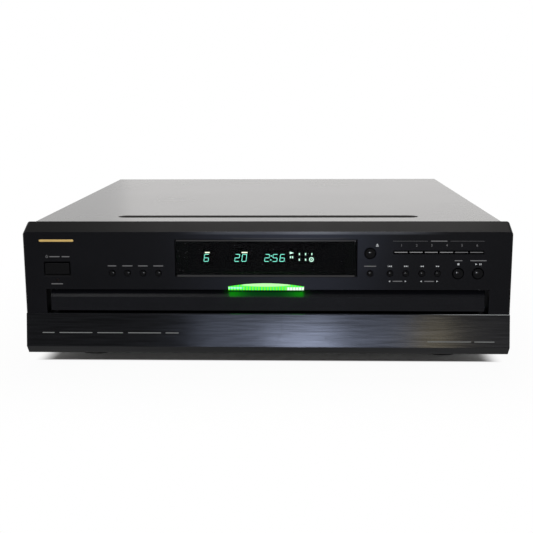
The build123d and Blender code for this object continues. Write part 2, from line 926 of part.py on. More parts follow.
# Front board with its key switches and lamps
switch_face_y = board_y - switch_height
switch_places = [(x, z) for name, x, z, radius, dish, travel in round_keys]
switch_places += [(x, bar_z) for name, x in bar_keys]
switch_places.append((power_key_x, power_z))
with BuildPart() as panel_board:
    box_between(
        (-board_half, board_y, board_low_z),
        (board_half, board_y + board_thickness, board_high_z),
    )
    for x, z in switch_places:
        with Locations((x, board_y - switch_height / 2, z)):
            Box(switch_size, switch_height, switch_size)
    for number in range(lamp_count):
        lamp_x = (number - (lamp_count - 1) / 2) * lamp_pitch
        rod_back(lamp_x, slot_top_z + lamp_rise, lens_rear_y + slide_clearance, board_y, led_radius)
    rod_back(power_key_x, led_z, face_y + seat_clearance, board_y, standby_led_radius)
    for x, z in panel_post_places:
        screw_bore((x, board_y + board_thickness, z), (0, -1, 0))
    with Locations((ribbon_x, board_y + board_thickness + ribbon_depth / 2, board_low_z + ribbon_rise)):
        Box(ribbon_width, ribbon_depth, ribbon_height)
keep(panel_board.part, "panel_board")

# Green lens over the tray
with BuildPart() as tray_light_lens:
    with BuildSketch(Plane.XZ.offset(-face_y + lens_stand_out)):
        with BuildLine():
            lens_side_z = slot_top_z + lens_end_height
            ThreePointArc(
                (-lens_width / 2, lens_side_z),
                (0, lens_side_z + lens_crown),
                (lens_width / 2, lens_side_z),
            )
            Polyline(
                (lens_width / 2, lens_side_z),
                (lens_width / 2, slot_top_z),
                (-lens_width / 2, slot_top_z),
                (-lens_width / 2, lens_side_z),
            )
        make_face()
    extrude(amount=-lens_depth)
    box_between(
        (-lens_width / 2 - lens_flange, panel_inner_y + seat_clearance, slot_top_z),
        (lens_width / 2 + lens_flange, lens_rear_y, slot_top_z + lens_end_height + lens_crown + lens_flange),
    )
keep(tray_light_lens.part, "tray_light_lens")

# Keys: each has a cap, a rim that keeps it behind the panel, and a stem that ends at its switch
rim_y = panel_inner_y + seat_clearance


def stem_end(travel):
    """How far back a key's stem may reach before its switch."""
    return switch_face_y - travel - switch_gap


for name, x, z, radius, dish, travel in round_keys:
    with BuildPart() as round_key:
        rod_back(x, z, face_y - 2 * key_stand_out, rim_y, radius)
        with Locations((x, face_y - key_stand_out + key_dome * radius, z)):
            Sphere(key_dome * radius, mode=Mode.INTERSECT)
        fillet(round_key.edges().sort_by(Axis.Y)[0], key_edge)
        rod_back(x, z, rim_y, rim_y + key_flange_thickness, radius + key_flange)
        rod_back(x, z, rim_y, stem_end(travel), key_stem_radius)
    keep(round_key.part, name)

for name, x in bar_keys:
    with BuildPart() as bar_key:
        box_between(
            (x - bar_key_width / 2, face_y - bar_stand_out, bar_z - bar_key_height / 2),
            (x + bar_key_width / 2, rim_y, bar_z + bar_key_height / 2),
        )
        fillet(bar_key.edges().group_by(Axis.Y)[0], key_edge)
        box_between(
            (x - bar_key_width / 2, rim_y, bar_z - bar_key_height / 2 - key_flange),
            (x + bar_key_width / 2, rim_y + key_flange_thickness, bar_z + bar_key_height / 2 + key_flange),
        )
        rod_back(x, bar_z, rim_y, stem_end(small_key_travel), key_stem_radius)
    keep(bar_key.part, name)

with BuildPart() as power_button:
    with Locations((power_key_x, (face_y + rim_y) / 2, power_z)):
        Box(power_key_width, rim_y - face_y, power_key_height)
    fillet(power_button.edges().group_by(Axis.Y)[0], key_edge)
    with Locations((power_key_x, rim_y + key_flange_thickness / 2, power_z)):
        Box(power_key_width + 2 * key_flange, key_flange_thickness, power_key_height + 2 * key_flange)
    rod_back(power_key_x, power_z, rim_y, stem_end(power_key_travel), key_stem_radius)
keep(power_button.part, "power_button")

# Feet, turned rubber
with BuildPart() as feet:
    for x, y in foot_places:
        with BuildSketch(place(x, y, foot_height)):
            Circle(foot_radius)
        extrude(amount=-foot_height, taper=foot_taper)
        rod_up(x, y, 0, foot_screw_z, screw_head_radius + slide_clearance, Mode.SUBTRACT)
        screw_bore((x, y, foot_screw_z), (0, 0, 1), foot_height)
    foot_rims = feet.edges().filter_by(GeomType.CIRCLE).group_by(Axis.Z)[0]
    fillet(foot_rims.group_by(SortBy.LENGTH)[-1], foot_edge)
keep(feet.part, "feet")

# Rear connectors
with BuildPart() as phono_jacks:
    for x, z in jack_places:
        rod_back(x, z, rear_face_y, rear_face_y + jack_ring_thickness, jack_ring_radius)
        rod_back(x, z, rear_inner_y, rear_face_y, jack_radius + jack_wall - running_clearance)
        rod_back(x, z, rear_face_y, rear_face_y + jack_reach, jack_radius)
        with Locations((x, rear_inner_y - seat_clearance - jack_block / 2, z)):
            Box(jack_block, jack_block, jack_block)
        box_between(
            (x - jack_leg / 2, rear_inner_y - seat_clearance - jack_block, main_board_z + board_thickness),
            (x + jack_leg / 2, rear_inner_y - jack_block / 2, z),
        )
        rod_back(x, z, rear_inner_y - jack_block, rear_inner_y, jack_radius)
        rod_back(x, z, rear_inner_y, rear_face_y + jack_reach, jack_bore_radius, Mode.SUBTRACT)
keep(phono_jacks.part, "phono_jacks")

with BuildPart() as rear_sockets:
    socket_rear_y = rear_face_y + jack_ring_thickness
    socket_half = socket_block / 2 - running_clearance
    box_between(
        (optical_x - socket_half, rear_inner_y - socket_block, main_board_z + board_thickness),
        (optical_x + socket_half, socket_rear_y, jack_z + socket_half),
    )
    box_between(
        (optical_x - socket_half, rear_inner_y, 0),
        (optical_x + socket_half, socket_rear_y, jack_z - socket_half),
        Mode.SUBTRACT,
    )
    box_between(
        (optical_x - socket_opening / 2, socket_rear_y - socket_depth, jack_z - socket_opening / 2),
        (optical_x + socket_opening / 2, socket_rear_y, jack_z + socket_opening / 2),
        Mode.SUBTRACT,
    )
    for x in remote_places:
        remote_half = remote_block / 2 - running_clearance
        rod_back(x, jack_z, rear_inner_y - socket_block, socket_rear_y, remote_half)
        box_between(
            (x - remote_half, rear_inner_y - socket_block, main_board_z + board_thickness),
            (x + remote_half, rear_inner_y - seat_clearance, jack_z),
        )
        rod_back(x, jack_z, socket_rear_y - remote_depth, socket_rear_y, remote_radius, Mode.SUBTRACT)
keep(rear_sockets.part, "rear_sockets")

with BuildPart() as cord_gland:
    rod_back(gland_x, gland_z, rear_face_y + gland_stand_out - gland_length, rear_face_y, gland_radius)
    rod_back(gland_x, gland_z, rear_face_y, rear_face_y + gland_stand_out, gland_flange_radius)
    fillet(cord_gland.edges().sort_by(Axis.Y)[-1], key_edge)
    rod_back(
        gland_x,
        gland_z,
        rear_face_y + gland_stand_out - gland_length,
        rear_face_y + gland_stand_out,
        gland_bore_radius,
        Mode.SUBTRACT,
    )
keep(cord_gland.part, "cord_gland")

# Main board with its tallest parts
board_top_z = main_board_z + board_thickness
main_board_side_x = main_board_x - main_board_width / 2
main_board_rear_y = board_rear_y - chassis_rear_lip
with BuildPart() as main_board:
    box_between(
        (main_board_side_x, main_board_rear_y - main_board_length, main_board_z),
        (main_board_side_x + main_board_width, main_board_rear_y, board_top_z),
    )
    for x, y in main_board_corners:
        screw_bore((x, y, board_top_z), (0, 0, -1))
    for dx, dy, radius, tall in capacitors:
        x = main_board_x + dx
        y = board_rear_y - main_board_length + dy
        rod_up(x, y, board_top_z, board_top_z + tall, radius)
    for dx, dy, wide, long in chips:
        x = main_board_x + dx
        y = board_rear_y - main_board_length + dy
        box_between((x, y, board_top_z), (x + wide, y + long, board_top_z + chip_height))
    sink_x = main_board_side_x + main_board_edge
    sink_y = board_rear_y - main_board_length / 2
    sink_top_z = board_top_z + sink_height
    for number in range(sink_fins):
        fin_y = sink_y + number * sink_pitch
        box_between((sink_x, fin_y, board_top_z), (sink_x + sink_depth, fin_y + sheet, sink_top_z))
    box_between((sink_x, sink_y, board_top_z), (sink_x + sheet, fin_y + sheet, sink_top_z))
keep(main_board.part, "main_board")

# Mains transformer
transformer_y = rear_inner_y - transformer_inset
window_half = core_width / 2 - core_leg
with BuildPart() as transformer_core:
    box_between(
        (transformer_x - core_width / 2, transformer_y - core_stack / 2, floor_z),
        (transformer_x + core_width / 2, transformer_y + core_stack / 2, floor_z + core_height),
    )
    for low, high in ((-window_half, -core_leg), (core_leg, window_half)):
        box_between(
            (transformer_x + low, transformer_y - core_stack / 2, floor_z + core_leg),
            (transformer_x + high, transformer_y + core_stack / 2, floor_z + core_height - core_leg),
            Mode.SUBTRACT,
        )
    for sx in (-1, 1):
        edge = transformer_x + sx * core_width / 2
        box_between(
            (min(edge, edge + sx * core_tab), transformer_y - core_leg, floor_z),
            (max(edge, edge + sx * core_tab), transformer_y + core_leg, floor_z + board_thickness),
        )
keep(transformer_core.part, "transformer_core")

with BuildPart() as transformer_coil:
    with Locations((transformer_x, transformer_y, floor_z + core_height / 2)):
        Box(
            2 * (window_half - coil_gap),
            core_stack + 2 * coil_overhang,
            core_height - 2 * core_leg - 2 * coil_gap,
        )
        fillet(transformer_coil.edges().filter_by(Axis.Z), coil_corner)
        Box(
            2 * (core_leg + coil_gap),
            core_stack + 2 * coil_gap,
            core_height,
            mode=Mode.SUBTRACT,
        )
keep(transformer_coil.part, "transformer_coil")


# Tray that slides out with the carousel
tray_front_wall_y = tray_end_y + tray_wall
rail_start_y = panel_back_y - slide_clearance
notch_front_y = spindle_y - notch_inside
rack_first = -round((loading_y - tray_end_y - rack_margin) / (pi * rack_module))
rack_last = round((tray_travel + rack_margin) / (pi * rack_module))
with BuildPart() as tray:
    box_between((-tray_half, tray_end_y, tray_bottom_z), (tray_half, tray_rear_y, deck_cover_z))
    box_between(
        (-tray_inner_half, tray_front_wall_y, deck_top_z),
        (tray_inner_half, tray_rear_y - tray_wall, deck_cover_z),
        Mode.SUBTRACT,
    )
    box_between(
        (-tray_inner_half, tray_front_wall_y, tray_bottom_z),
        (tray_inner_half, tray_rear_y - tray_wall, deck_z),
        Mode.SUBTRACT,
    )
    box_between(
        (-notch_half_width, notch_front_y, tray_bottom_z),
        (notch_half_width, tray_rear_y, deck_cover_z),
        Mode.SUBTRACT,
    )
    box_pair((tray_half, rail_start_y, tongue_z), (tongue_tip, tray_rear_y, tongue_z + tongue_height))
    with BuildSketch(Plane(origin=(rack_x, loading_y, tray_bottom_z), x_dir=(0, 1, 0), z_dir=(0, 0, -1))):
        with BuildLine():
            Polyline(*rack_outline(rack_module, rack_first, rack_last, rack_inset), close=True)
        make_face()
    extrude(amount=-rack_height)
    rod_up(0, carousel_y, deck_top_z, ring_z - bearing_gap, post_radius + post_shoulder)
    rod_up(0, carousel_y, deck_top_z, post_top_z, post_radius)
    rod_up(0, carousel_y, post_top_z - cap_peg_length, post_top_z, cap_peg_radius, Mode.SUBTRACT)
    rod_up(drive_x, drive_y, deck_top_z, ring_z - bearing_gap, drive_boss_radius)
keep(tray.part, "tray")

# Front of the tray
with BuildPart() as tray_front:
    tray_front_z = tray_bottom_z + tray_front_margin
    with BuildSketch(Plane.YZ):
        side_profile(
            [
                (tray_face_y, tray_front_z),
                (tray_face_y, deck_cover_top_z - tray_front_bevel_height),
                (tray_face_y + tray_front_bevel_depth, deck_cover_top_z),
                (tray_end_y, deck_cover_top_z),
                (tray_end_y, tray_front_z),
            ]
        )
    extrude(amount=tray_front_half, both=True)
    fillet(tray_front.edges().filter_by(Axis.Z), key_edge)
keep(tray_front.part, "tray_front")

# Cover plate over the corners of the tray
with BuildPart() as deck_cover:
    box_between((-tray_half, tray_end_y, deck_cover_z), (tray_half, tray_rear_y, deck_cover_top_z))
    rod_up(
        0, carousel_y, deck_cover_z, deck_cover_top_z, carousel_radius + deck_cover_gap, Mode.SUBTRACT
    )
    box_between(
        (-notch_half_width, carousel_y, deck_cover_z),
        (notch_half_width, tray_rear_y, deck_cover_top_z),
        Mode.SUBTRACT,
    )
keep(deck_cover.part, "deck_cover")

# Six-disc carousel with its gear ring
with BuildPart() as carousel:
    rod_up(0, carousel_y, platter_z, platter_top_z, carousel_radius)
    fillet(carousel.edges().filter_by(GeomType.CIRCLE).sort_by(Axis.Z)[-1], rim_edge)
    with BuildSketch(place(0, carousel_y, ring_z)):
        with BuildLine():
            Polyline(*gear_outline(ring_teeth, ring_module, flank_steps=1), close=True)
        make_face()
        Circle(ring_pitch_radius - tooth_sink * ring_module - ring_web, mode=Mode.SUBTRACT)
    extrude(amount=ring_height)
    with BuildSketch(place(0, carousel_y, pocket_floor_z)):
        with PolarLocations(pocket_ring_radius, disc_count, start_angle=90):
            Circle(pocket_radius)
    extrude(amount=pocket_depth, mode=Mode.SUBTRACT)
    with BuildSketch(place(0, carousel_y, pocket_floor_z)):
        with PolarLocations(pocket_ring_radius, disc_count, start_angle=90):
            Circle(small_disc_radius + disc_clearance)
    extrude(amount=-small_pocket_depth, mode=Mode.SUBTRACT)
    with BuildSketch(place(0, carousel_y, platter_z)):
        with PolarLocations(pocket_ring_radius, disc_count, start_angle=90):
            with Locations(((window_outside - window_inside) / 2, 0)):
                RectangleRounded(window_outside + window_inside, window_width, window_corner)
    extrude(amount=pocket_floor + pocket_depth, mode=Mode.SUBTRACT)
    rod_up(0, carousel_y, ring_z, hub_top_z, hub_radius)
    fillet(carousel.edges().filter_by(GeomType.CIRCLE).sort_by(Axis.Z)[-1], rim_edge)
    rod_up(0, carousel_y, ring_z, hub_top_z, post_radius + running_clearance, Mode.SUBTRACT)
keep(carousel.part, "carousel")

# Cap that keeps the carousel on its post
with BuildPart() as carousel_cap:
    rod_up(0, carousel_y, post_top_z, post_top_z + cap_height, cap_radius)
    fillet(carousel_cap.edges().sort_by(Axis.Z)[-1], rim_edge)
    peg_low_z = post_top_z - cap_peg_length + seat_clearance
    rod_up(0, carousel_y, peg_low_z, post_top_z, cap_peg_radius - running_clearance)
keep(carousel_cap.part, "carousel_cap")

# Wheel that turns the carousel, in mesh with the ring
ring_place = drive_angle * ring_teeth / 360
ring_shift = (round(ring_place) - ring_place) * 360 / ring_teeth
drive_phase = drive_angle + 180 - ring_shift * ring_teeth / drive_teeth + 180 / drive_teeth
with BuildPart() as carousel_drive_gear:
    with BuildSketch(place(drive_x, drive_y, ring_z)):
        with BuildLine():
            Polyline(*gear_outline(drive_teeth, ring_module, drive_phase, flank_steps=1), close=True)
        make_face()
        Circle(shaft_radius + running_clearance, mode=Mode.SUBTRACT)
        with PolarLocations(drive_pitch_radius / 2, gear_holes):
            Circle(gear_hole_radius, mode=Mode.SUBTRACT)
    extrude(amount=ring_height - drive_gear_gap)
keep(carousel_drive_gear.part, "carousel_drive_gear")

# Flat motor hung from the cover plate
with BuildPart() as carousel_motor:
    rod_up(drive_x, drive_y, deck_cover_z - carousel_motor_height, deck_cover_z, carousel_motor_radius)
    fillet(carousel_motor.edges().sort_by(Axis.Z)[0], motor_edge)
    rod_up(drive_x, drive_y, ring_z, deck_cover_z - carousel_motor_height, shaft_radius)
keep(carousel_motor.part, "carousel_motor")

# Slides on both sides of the tray
guide_rear_y = tray_rear_y + guide_tail
with BuildPart() as tray_guides:
    guide_front_y = chassis_front_y + sheet + slide_clearance
    lower_ledge_z = tongue_z - slide_clearance
    upper_ledge_z = tongue_z + tongue_height + slide_clearance
    guide_top_z = upper_ledge_z + guide_ledge
    ledge_x = tray_half + slide_clearance
    for low_x, high_x, low_z, high_z in (
        (guide_web_x, guide_outer_x, floor_z, guide_top_z),
        (ledge_x, guide_web_x, lower_ledge_z - guide_ledge, lower_ledge_z),
        (ledge_x, guide_web_x, upper_ledge_z, guide_top_z),
        (guide_outer_x - guide_foot, guide_outer_x, floor_z, floor_z + guide_ledge),
    ):
        box_pair((low_x, guide_front_y, low_z), (high_x, guide_rear_y, high_z))
keep(tray_guides.part, "tray_guides")

# Folded bridge over the tray that holds the clamp
with BuildPart() as clamp_bridge:
    bridge_front_y = spindle_y - bridge_width / 2
    bridge_rear_y = spindle_y + bridge_width / 2
    bridge_half = bridge_leg_x + sheet
    bridge_foot_half = chassis_half - sheet - seat_clearance
    box_between((-bridge_half, bridge_front_y, bridge_z), (bridge_half, bridge_rear_y, bridge_z + sheet))
    box_pair((bridge_leg_x, bridge_front_y, floor_z), (bridge_half, bridge_rear_y, bridge_z))
    box_pair((bridge_leg_x, bridge_front_y, floor_z), (bridge_foot_half, bridge_rear_y, floor_z + sheet))
    for y in (bridge_front_y, bridge_rear_y - sheet):
        box_between((-bridge_leg_x, y, bridge_z), (bridge_leg_x, y + sheet, bridge_z + bridge_rib))
    rod_up(0, spindle_y, bridge_z, bridge_z + sheet, clamp_neck_radius + slide_clearance, Mode.SUBTRACT)
    for x, y in bridge_screw_places:
        screw_bore((x, y, floor_z + sheet), (0, 0, -1), sheet_screw_length)
keep(clamp_bridge.part, "clamp_bridge")

# Magnetic clamp that turns with the disc
with BuildPart() as clamp_puck:
    rod_up(0, spindle_y, clamp_z, clamp_z + clamp_height, clamp_radius)
    fillet(clamp_puck.edges().group_by(Axis.Z)[-1], rim_edge)
    rod_up(0, spindle_y, clamp_z + clamp_height, bridge_z + sheet + slide_clearance, clamp_neck_radius)
    rod_up(
        0,
        spindle_y,
        bridge_z + sheet + slide_clearance,
        bridge_z + sheet + slide_clearance + clamp_cap_height,
        clamp_cap_radius,
    )
    rod_up(0, spindle_y, clamp_z, clamp_z + clamp_recess_height, clamp_recess_radius, Mode.SUBTRACT)
keep(clamp_puck.part, "clamp_puck")

# Playing unit: carrier plate with guide bosses, rod blocks and cam pins
pickup_front_y = spindle_y - pickup_front
pickup_rear_y = spindle_y + pickup_rear
base_top_z = floor_z + base_plate
cam_rear_y = pickup_front_y - cam_gap
cam_front_y = cam_rear_y - cam_thickness
cam_bottom_z = base_top_z + slide_clearance
cam_pin_z = cam_bottom_z + (cam_height - lift_travel) / 2
guide_posts = [
    (sx * guide_post_x, y)
    for sx in (-1, 1)
    for y in (spindle_y - guide_post_front, spindle_y + guide_post_rear)
]
rod_front_y = pickup_front_y + rod_block_inset
rod_rear_y = spindle_y - sled_start + rod_overrun
with BuildPart() as pickup_chassis:
    box_between(
        (-pickup_half_width, pickup_front_y, pickup_under_z),
        (pickup_half_width, pickup_rear_y, pickup_top_z),
    )
    fillet(pickup_chassis.edges().filter_by(Axis.Z), guide_boss_radius)
    box_between(
        (-cam_pin_spread - guide_boss_radius, pickup_front_y, cam_pin_z - cam_pin_radius - cam_gap),
        (cam_pin_spread + guide_boss_radius, pickup_front_y + base_plate, pickup_under_z),
    )
    pin_tip_y = cam_front_y + cam_pin_setback
    for sx in (-1, 1):
        rod_back(sx * cam_pin_spread, cam_pin_z, pin_tip_y, pickup_front_y, cam_pin_radius)
        for y in (rod_front_y, rod_rear_y):
            box_between(
                (sx * rod_spread - rod_block_half, y - rod_block_depth / 2, pickup_top_z),
                (sx * rod_spread + rod_block_half, y + rod_block_depth / 2, rod_z + rod_radius + rod_cover),
            )
        rod_back(
            sx * rod_spread,
            rod_z,
            rod_front_y - rod_block_depth,
            rod_rear_y + rod_block_depth,
            rod_radius + running_clearance,
            Mode.SUBTRACT,
        )
    for x, y in guide_posts:
        rod_up(x, y, pickup_top_z - guide_boss_length, pickup_top_z, guide_boss_radius)
        rod_up(
            x,
            y,
            pickup_top_z - guide_boss_length,
            pickup_top_z,
            guide_post_radius + running_clearance,
            Mode.SUBTRACT,
        )
    rod_up(0, spindle_y, pickup_under_z, pickup_top_z, hub_boss_radius, Mode.SUBTRACT)
    box_between(
        (-lens_block_width, spindle_y - sled_start - sled_travel - sled_length, pickup_under_z),
        (lens_block_width, spindle_y - sled_start, pickup_top_z),
        Mode.SUBTRACT,
    )
keep(pickup_chassis.part, "pickup_chassis")

with BuildPart() as guide_rods:
    for sx in (-1, 1):
        rod_back(
            sx * rod_spread,
            rod_z,
            rod_front_y - rod_block_depth / 2,
            rod_rear_y + rod_block_depth / 2,
            rod_radius,
        )
keep(guide_rods.part, "guide_rods")

with BuildPart() as laser_sled:
    sled_rear_y = spindle_y - sled_start
    lens_y = sled_rear_y - lens_inset
    box_between(
        (-rod_spread - rod_block_half, sled_rear_y - sled_length, sled_z),
        (rod_spread + rod_block_half, sled_rear_y, sled_z + sled_height),
    )
    fillet(laser_sled.edges().filter_by(Axis.Z), rod_radius)
    for sx in (-1, 1):
        rod_back(
            sx * rod_spread,
            rod_z,
            sled_rear_y - sled_length,
            sled_rear_y,
            rod_radius + running_clearance,
            Mode.SUBTRACT,
        )
    with Locations((0, lens_y, (sled_z + lens_top_z - lens_rim) / 2)):
        Box(lens_block_width, lens_block_length, lens_top_z - lens_rim - sled_z)
    rod_up(0, lens_y, sled_z, lens_top_z, lens_radius)
    fillet(laser_sled.edges().sort_by(Axis.Z)[-1], lens_rim / 2)
keep(laser_sled.part, "laser_sled")

with BuildPart() as spindle_motor:
    rod_up(0, spindle_y, pickup_under_z - motor_height, pickup_under_z, motor_radius)
    fillet(spindle_motor.edges().sort_by(Axis.Z)[0], motor_edge)
    rod_up(0, spindle_y, pickup_under_z, disc_seat_z, shaft_radius)
keep(spindle_motor.part, "spindle_motor")

with BuildPart() as spindle_hub:
    rod_up(0, spindle_y, hub_under_z, disc_seat_z, hub_flange_radius)
    fillet(spindle_hub.edges().filter_by(GeomType.CIRCLE), key_edge)
    with BuildSketch(place(0, spindle_y, disc_seat_z)):
        Circle(hub_nose_radius)
    extrude(amount=hub_nose_height, taper=hub_nose_taper)
    rod_up(0, spindle_y, pickup_top_z + hub_boss_gap, hub_under_z, hub_boss_radius)
    rod_up(
        0,
        spindle_y,
        pickup_top_z + hub_boss_gap,
        disc_seat_z + seat_clearance,
        shaft_radius + running_clearance,
        Mode.SUBTRACT,
    )
keep(spindle_hub.part, "spindle_hub")

# Cam plate with two sloping slots and a rack
lift_pitch_radius = lift_module * lift_teeth / 2
lift_rack_y = cam_front_y - rack_strip
lift_gear_y = lift_rack_y - lift_pitch_radius
lift_rack_z = cam_bottom_z + lift_rack_rise
rack_span = round((lift_travel + lift_rack_margin) / (pi * lift_module))
rack_after = round(lift_rack_margin / (pi * lift_module))
with BuildPart() as lift_cam:
    box_between(
        (-cam_half_length, cam_front_y, cam_bottom_z),
        (cam_half_length, cam_rear_y, cam_bottom_z + cam_height),
    )
    with BuildSketch(Plane(origin=(0, lift_rack_y, lift_rack_z), x_dir=(-1, 0, 0), z_dir=(0, 0, 1))):
        with BuildLine():
            Polyline(*rack_outline(lift_module, -rack_after, rack_span, rack_strip), close=True)
        make_face()
    extrude(amount=lift_gear_height)
    for sx in (-1, 1):
        with BuildSketch(Plane.XZ.offset(-cam_rear_y)):
            with BuildLine():
                Polyline(
                    (sx * cam_pin_spread + cam_slot_run, cam_pin_z),
                    (sx * cam_pin_spread, cam_pin_z),
                    (sx * cam_pin_spread - lift_travel, cam_pin_z + lift_travel),
                    (sx * cam_pin_spread - lift_travel - cam_slot_run, cam_pin_z + lift_travel),
                )
                offset(amount=cam_pin_radius + cam_slot_clearance, side=Side.BOTH)
            make_face()
        extrude(amount=cam_thickness, mode=Mode.SUBTRACT)
keep(lift_cam.part, "lift_cam")

with BuildPart() as lift_gear:
    with BuildSketch(place(0, lift_gear_y, lift_rack_z)):
        with BuildLine():
            Polyline(*gear_outline(lift_teeth, lift_module, 90, flank_steps=1), close=True)
        make_face()
        Circle(shaft_radius + running_clearance, mode=Mode.SUBTRACT)
    extrude(amount=lift_gear_height)
keep(lift_gear.part, "lift_gear")

shelf_z = lift_rack_z + lift_gear_height + shelf_gap
with BuildPart() as lift_motor:
    rod_up(0, lift_gear_y, shelf_z + sheet, shelf_z + sheet + lift_motor_height, lift_motor_radius)
    fillet(lift_motor.edges().sort_by(Axis.Z)[-1], motor_edge)
    rod_up(0, lift_gear_y, lift_rack_z, shelf_z + sheet, shaft_radius)
keep(lift_motor.part, "lift_motor")

# Base of the playing unit: guide posts, cam walls and the shelf of the lift motor
with BuildPart() as mechanism_base:
    base_half = cam_half_length + base_margin
    box_between(
        (-base_half, lift_gear_y - shelf_front, floor_z),
        (base_half, pickup_rear_y + base_margin, base_top_z),
    )
    fillet(mechanism_base.edges().filter_by(Axis.Z), guide_boss_radius)
    for x, y in guide_posts:
        rod_up(x, y, base_top_z, tray_bottom_z - base_plate, guide_post_radius)
    box_pair(
        (cam_half_length - cam_wall_length, cam_front_y - slide_clearance - cam_wall, base_top_z),
        (base_half - cam_wall, cam_front_y - slide_clearance, base_top_z + cam_wall_height),
    )
    box_pair(
        (cam_half_length - cam_wall_length, cam_rear_y + slide_clearance, base_top_z),
        (base_half - cam_wall, cam_rear_y + slide_clearance + cam_wall, base_top_z + cam_wall_height),
    )
    box_between(
        (-shelf_post_x - guide_post_radius, lift_gear_y - shelf_front, shelf_z),
        (shelf_post_x + guide_post_radius, lift_gear_y + lift_pitch_radius - shelf_gap, shelf_z + sheet),
    )
    for sx in (-1, 1):
        rod_up(
            sx * shelf_post_x,
            lift_gear_y - shelf_front + guide_post_radius,
            base_top_z,
            shelf_z,
            guide_post_radius,
        )
    rod_up(0, lift_gear_y, shelf_z, shelf_z + sheet, shaft_radius + slide_clearance, Mode.SUBTRACT)
keep(mechanism_base.part, "mechanism_base")

# Loading drive: bracket, motor, belt and gears
drive_plate_top_z = drive_plate_z + sheet
with BuildPart() as loading_bracket:
    plate_low = (loading_x - plate_margin, loading_y - plate_margin, drive_plate_z)
    plate_high = (motor_x + plate_margin, motor_y + plate_margin, drive_plate_top_z)
    box_between(plate_low, plate_high)
    for x in (plate_low[0] + standoff_radius, plate_high[0] - standoff_radius):
        for y in (plate_low[1] + standoff_radius, plate_high[1] - standoff_radius):
            rod_up(x, y, floor_z, drive_plate_z, standoff_radius)
    rod_up(loading_x, loading_y, drive_plate_z, tray_bottom_z + loading_gear_height, axle_radius)
    shaft_hole_radius = shaft_radius + slide_clearance
    rod_up(motor_x, motor_y, drive_plate_z, drive_plate_top_z, shaft_hole_radius, Mode.SUBTRACT)
keep(loading_bracket.part, "loading_bracket")

with BuildPart() as loading_motor:
    rod_up(motor_x, motor_y, drive_plate_z - loading_motor_height, drive_plate_z, loading_motor_radius)
    fillet(loading_motor.edges().sort_by(Axis.Z)[0], motor_edge)
    rod_up(motor_x, motor_y, drive_plate_z, pulley_z + pulley_width, shaft_radius)
keep(loading_motor.part, "loading_motor")


def pulley(x, y, radius):
    """A pulley with a flange above and below its belt groove."""
    edge = (pulley_width - belt_width) / 2 - belt_gap
    rod_up(x, y, pulley_z, pulley_z + pulley_width, radius)
    for low in (pulley_z, pulley_z + pulley_width - edge):
        rod_up(x, y, low, low + edge, radius + pulley_flange)


loading_gear_z = tray_bottom_z + seat_clearance
with BuildPart() as loading_gear:
    with BuildSketch(place(loading_x, loading_y, loading_gear_z)):
        with BuildLine():
            Polyline(*gear_outline(loading_teeth, rack_module, 180, flank_steps=1), close=True)
        make_face()
    extrude(amount=loading_gear_height)
    pulley(loading_x, loading_y, belt_pulley_radius)
    rod_up(loading_x, loading_y, drive_plate_top_z + bearing_gap, loading_gear_z, gear_hub_radius)
    rod_up(
        loading_x,
        loading_y,
        drive_plate_top_z,
        loading_gear_z + loading_gear_height,
        axle_radius + running_clearance,
        Mode.SUBTRACT,
    )
keep(loading_gear.part, "loading_gear")

with BuildPart() as motor_pulley:
    pulley(motor_x, motor_y, motor_pulley_radius)
    motor_bore_radius = shaft_radius + running_clearance
    rod_up(motor_x, motor_y, pulley_z, pulley_z + pulley_width, motor_bore_radius, Mode.SUBTRACT)
keep(motor_pulley.part, "motor_pulley")

with BuildPart() as loading_belt:
    for extra, mode in ((belt_gap + belt_thickness, Mode.ADD), (belt_gap, Mode.SUBTRACT)):
        with BuildSketch(place(0, 0, pulley_z + (pulley_width - belt_width) / 2)):
            with Locations((loading_x, loading_y)):
                Circle(belt_pulley_radius + extra)
            with Locations((motor_x, motor_y)):
                Circle(motor_pulley_radius + extra)
            make_hull()
        extrude(amount=belt_width, mode=mode)
keep(loading_belt.part, "loading_belt")

# Screws, all of one kind
with BuildPart() as screws:
    for sx, y in cover_screw_places:
        screw((sx * cover_half, y, cover_screw_z), (-sx, 0, 0))
    for x, y in foot_places:
        screw((x, y, foot_screw_z), (0, 0, 1))
    for x, y in bridge_screw_places:
        screw((x, y, floor_z + sheet), (0, 0, -1), sheet_screw_length)
    for x in rear_screw_places:
        screw((x, rear_face_y, rear_screw_z), (0, -1, 0), sheet_screw_length)
        screw((x, cover_rear_y, cover_rear_screw_z), (0, -1, 0), sheet_screw_length)
    for x, y in main_board_corners:
        screw((x, y, main_board_z + board_thickness), (0, 0, -1))
    for x, z in panel_post_places:
        screw((x, board_y + board_thickness, z), (0, -1, 0))
keep(screws.part, "screws")
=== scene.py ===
"""Looks of a disc changer with a sliding tray: finishes, print, lit display, lamps and camera."""

import json
import math

import bmesh
import bpy
from bpy.props import FloatProperty, FloatVectorProperty, IntProperty, PointerProperty
from mathutils import Matrix, Vector


